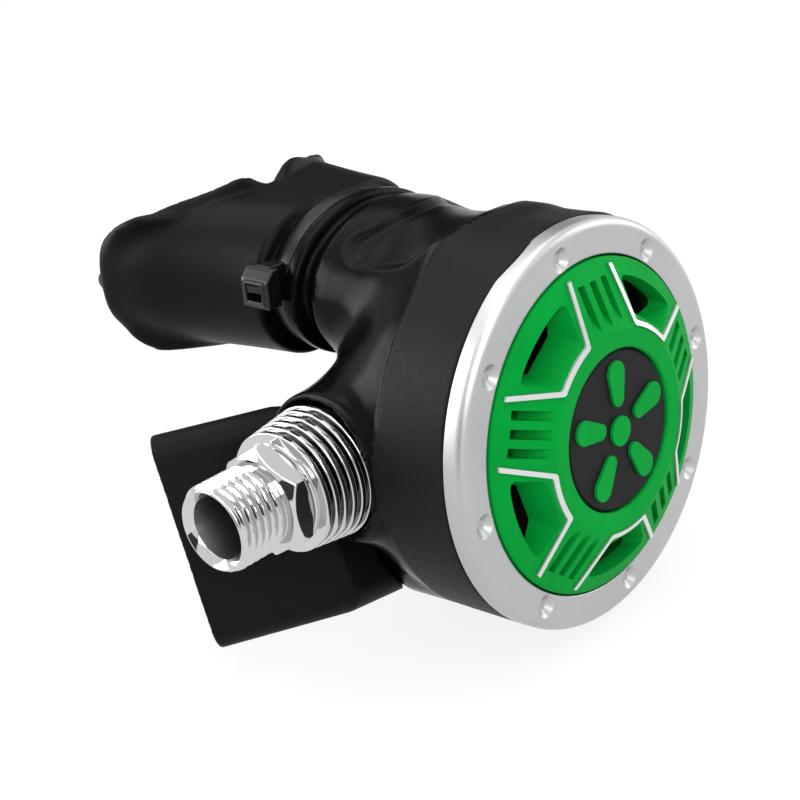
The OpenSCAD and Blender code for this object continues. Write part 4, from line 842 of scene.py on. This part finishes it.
def ring_piece():
    """The ring, with a soft bevel and conical dimples sunk into its face."""
    bevel = [(DRUM_R - RING_BEVEL + RING_BEVEL * math.sin(q), RING_BEVEL - RING_BEVEL * math.cos(q))
             for q in np.radians(np.linspace(0, 90, 10))]
    face = [(r, 0.0) for r in np.arange(RING_IN + 0.3, DRUM_R - RING_BEVEL - 0.05, FACE_STEP)]
    front = [(RING_IN, 0.35), (RING_IN + 0.1, 0.12)] + face
    rows = np.array(front + bevel + [(DRUM_R, RIM), (SKIRT_OUT, RIM), (SKIRT_OUT, SKIRT_END), (SKIRT_IN, SKIRT_END),
                                     (SKIRT_IN, RING_LIP), (RING_IN, RING_LIP)])
    t = 2 * math.pi * np.arange(RING_SIDES) / RING_SIDES
    x, z = rows[:, :1] * np.cos(t), rows[:, :1] * np.sin(t)
    y = np.repeat(rows[:, 1:], RING_SIDES, 1)
    mid = (RING_IN + DRUM_R - RING_BEVEL) / 2
    n = len(front)
    for k in range(DIMPLE_COUNT):
        a = math.radians(DIMPLE_ANGLE - k * 360 / DIMPLE_COUNT)
        d = np.hypot(x[:n] - mid * math.cos(a), z[:n] - mid * math.sin(a))
        y[:n] += DIMPLE_DEPTH * np.clip((DIMPLE_R - d) / (DIMPLE_R * DIMPLE_CONE), 0, 1)
    return np.stack([x, y, z], 2).reshape(-1, 3), grid_faces(len(rows), RING_SIDES)[:, [1, 2, 3, 0]]


pts, faces = ring_piece()
make("ring_turned", pts, faces, ring_satin, ("face_ring",), sharp=32)


# ---- Springs, coiled between the pieces that they push ----

WIRE_R, WIRE_SIDES, COIL_STEPS = 0.4, 12, 36
PURGE_COIL, PURGE_TURNS = 7.6, 5
VALVE_COIL, VALVE_TURNS, VALVE_SPLIT = 3.7, 6, 0.4      # the poppet's spring is made as two pieces, split at this share of its length


def coil_piece(name, node, axis, coil_r, turns, share=(0.0, 1.0)):
    """A share of a coil spring in the place of its CAD node, in the row's frame."""
    low, high = (np.array(v) * 1000 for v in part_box(node))
    a, b = low[axis] + WIRE_R, high[axis] - WIRE_R
    middle = (low + high) / 2
    across, over = (axis + 1) % 3, (axis + 2) % 3
    n = int(COIL_STEPS * turns * (share[1] - share[0]))
    t = (share[0] + (share[1] - share[0]) * np.arange(n + 1) / n)[:, None]
    s = 2 * math.pi * np.arange(WIRE_SIDES) / WIRE_SIDES
    q = 2 * math.pi * turns * t
    r = coil_r + WIRE_R * np.cos(s)
    pts = np.empty((n + 1, WIRE_SIDES, 3))
    pts[..., axis] = a + (b - a) * t + WIRE_R * np.sin(s)
    pts[..., across] = middle[across] + r * np.cos(q)
    pts[..., over] = middle[over] + r * np.sin(q)
    last = n * WIRE_SIDES
    caps = [tuple(range(WIRE_SIDES)), tuple(last + j for j in reversed(range(WIRE_SIDES)))]
    faces = caps + [tuple(f) for f in grid_faces(n + 1, WIRE_SIDES, close=False)[:, [3, 0, 1, 2]]]
    obj = row_mesh(name, pts.reshape(-1, 3) / 1000, faces, steel)
    smooth(obj)
    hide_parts(node)
    return obj


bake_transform(coil_piece("purge_coil", "purge_spring", 1, PURGE_COIL, PURGE_TURNS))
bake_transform(coil_piece("poppet_coil_front", "poppet_spring", 0, VALVE_COIL, VALVE_TURNS, (0.0, VALVE_SPLIT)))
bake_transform(coil_piece("poppet_coil_back", "poppet_spring", 0, VALVE_COIL, VALVE_TURNS, (VALVE_SPLIT, 1.0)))


# ---- Stage: floor, dark cards that reflections see, world, lamps and camera ----

CENTER = Vector(to_row((0, 35, 0)))
CARD_REACH, CARD_ALONG = 0.8, 0.66
FLOOR_HALF, FLOOR_GAP, FLOOR_GREY, FLOOR_GLOW, FLOOR_SHARE = 3, 0.0005, 0.82, 1.05, 0.82
WORLD_LIGHT = 0.35
SQUARE = ((-1, -1), (1, -1), (1, 1), (-1, 1))


def seen_by(tree, *rays):
    """A shader's 1 for rays of these kinds, and 0 for the others."""
    path = tree.nodes.new("ShaderNodeLightPath")
    found = path.outputs[rays[0]]
    for ray in rays[1:]:
        either = tree.nodes.new("ShaderNodeMath")
        either.operation = "MAXIMUM"
        tree.links.new(found, either.inputs[0])
        tree.links.new(path.outputs[ray], either.inputs[1])
        found = either.outputs[0]
    return found


def mixed(tree, share, first, second, output):
    """Two shaders mixed by a share into an output node."""
    mix = tree.nodes.new("ShaderNodeMixShader")
    tree.links.new(share, mix.inputs[0])
    tree.links.new(first.outputs[0], mix.inputs[1])
    tree.links.new(second.outputs[0], mix.inputs[2])
    tree.links.new(mix.outputs[0], tree.nodes.new(output).inputs[0])


def floor():
    """The white floor, which keeps the object's shadow."""
    m = bpy.data.materials.new("floor_white")
    m.use_nodes = True
    tree = m.node_tree
    tree.nodes.clear()
    diffuse = tree.nodes.new("ShaderNodeBsdfDiffuse")
    diffuse.inputs[0].default_value = (FLOOR_GREY, FLOOR_GREY, FLOOR_GREY, 1)
    glow = tree.nodes.new("ShaderNodeEmission")
    glow.inputs[1].default_value = FLOOR_GLOW
    part = tree.nodes.new("ShaderNodeMath")
    part.operation = "MULTIPLY"
    part.inputs[1].default_value = FLOOR_SHARE
    tree.links.new(seen_by(tree, "Is Camera Ray", "Is Glossy Ray"), part.inputs[0])
    mixed(tree, part.outputs[0], diffuse, glow, "ShaderNodeOutputMaterial")
    corners = [(x * FLOOR_HALF, y * FLOOR_HALF, CAD_BOX[0].z - FLOOR_GAP) for x, y in SQUARE]
    row_mesh("floor", corners, [(0, 1, 2, 3)], m)


floor()


def card(name, center, width, height):
    """A dark card that only reflections see, turned to the object."""
    place = Vector(center)
    look = (CENTER - place).normalized()
    side = look.cross(Vector((0, 0, 1))).normalized()
    rise = side.cross(look).normalized()
    m = bpy.data.materials.new(name)
    m.use_nodes = True
    m.node_tree.nodes["Principled BSDF"].inputs["Base Color"].default_value = (0.01, 0.01, 0.01, 1)
    corners = [place + side * (a * width / 2) + rise * (b * height / 2) for a, b in SQUARE]
    obj = row_mesh(name, corners, [(0, 1, 2, 3)], m)
    obj.visible_camera = False
    obj.visible_diffuse = False
    obj.visible_shadow = False


def lamp(name, place, size, watts):
    data = bpy.data.lights.new(name, "AREA")
    data.energy = watts
    data.size = size
    obj = link_object(name, data)
    obj.location = Vector(place)
    obj.rotation_euler = (CENTER - Vector(place)).to_track_quat("-Z", "Y").to_euler()


world = bpy.data.worlds.new("studio")
bpy.context.scene.world = world
world.use_nodes = True
tree = world.node_tree
tree.nodes.clear()
plain, white = (tree.nodes.new("ShaderNodeBackground") for _ in range(2))
for background, strength in ((plain, WORLD_LIGHT), (white, 1.0)):
    background.inputs[0].default_value = (1, 1, 1, 1)
    background.inputs[1].default_value = strength
mixed(tree, seen_by(tree, "Is Camera Ray", "Is Glossy Ray", "Is Transmission Ray"), plain, white,
      "ShaderNodeOutputWorld")


def around(angle):
    """A place on the cone round the X axis that the turned pieces show to the camera."""
    side = math.sqrt(1 - CARD_ALONG * CARD_ALONG)
    a = math.radians(angle)
    return CENTER + Vector((CARD_ALONG, -side * math.cos(a), side * math.sin(a))) * CARD_REACH


for number, (angle, width, height) in enumerate(((14, 0.17, 0.7), (72, 0.10, 0.7), (120, 0.20, 0.6),
                                                 (168, 0.18, 0.6), (-75, 0.12, 0.6))):
    card("card_%d" % number, around(angle), width, height)
card("card_left", (-0.85, -0.35, 0.15), 0.5, 0.5)
card("card_back", CENTER + Vector((0.665, 0.652, 0.364)) * CARD_REACH, 0.4, 0.35)
lamp("key", (-0.55, -0.75, 0.75), 0.8, 8.0)
lamp("top", (0.1, 0.1, 0.95), 0.9, 6.5)
lamp("right", (0.85, -0.45, 0.35), 0.7, 4.0)
lamp("rim", (-0.50, 0.82, 0.36), 0.6, 8.0)

# The photo's solved camera
camera = bpy.data.cameras.new("camera")
camera.sensor_width = 36
camera.lens = 82.06
camera.clip_start = 0.01
cam = link_object("camera", camera)
right = Vector((0.65603499, -0.74300726, -0.13250777))
up = Vector((0.35714098, 0.15094725, 0.92177288))
back = Vector((-0.66488226, -0.65203922, 0.36438502))
spot = Vector(to_row((-209.592, -163.348, 112.430)))
cam.matrix_world = Matrix(((right.x, up.x, back.x, spot.x), (right.y, up.y, back.y, spot.y),
                           (right.z, up.z, back.z, spot.z), (0, 0, 0, 1)))
bpy.context.scene.camera = cam
bpy.context.scene.view_settings.view_transform = "Standard"
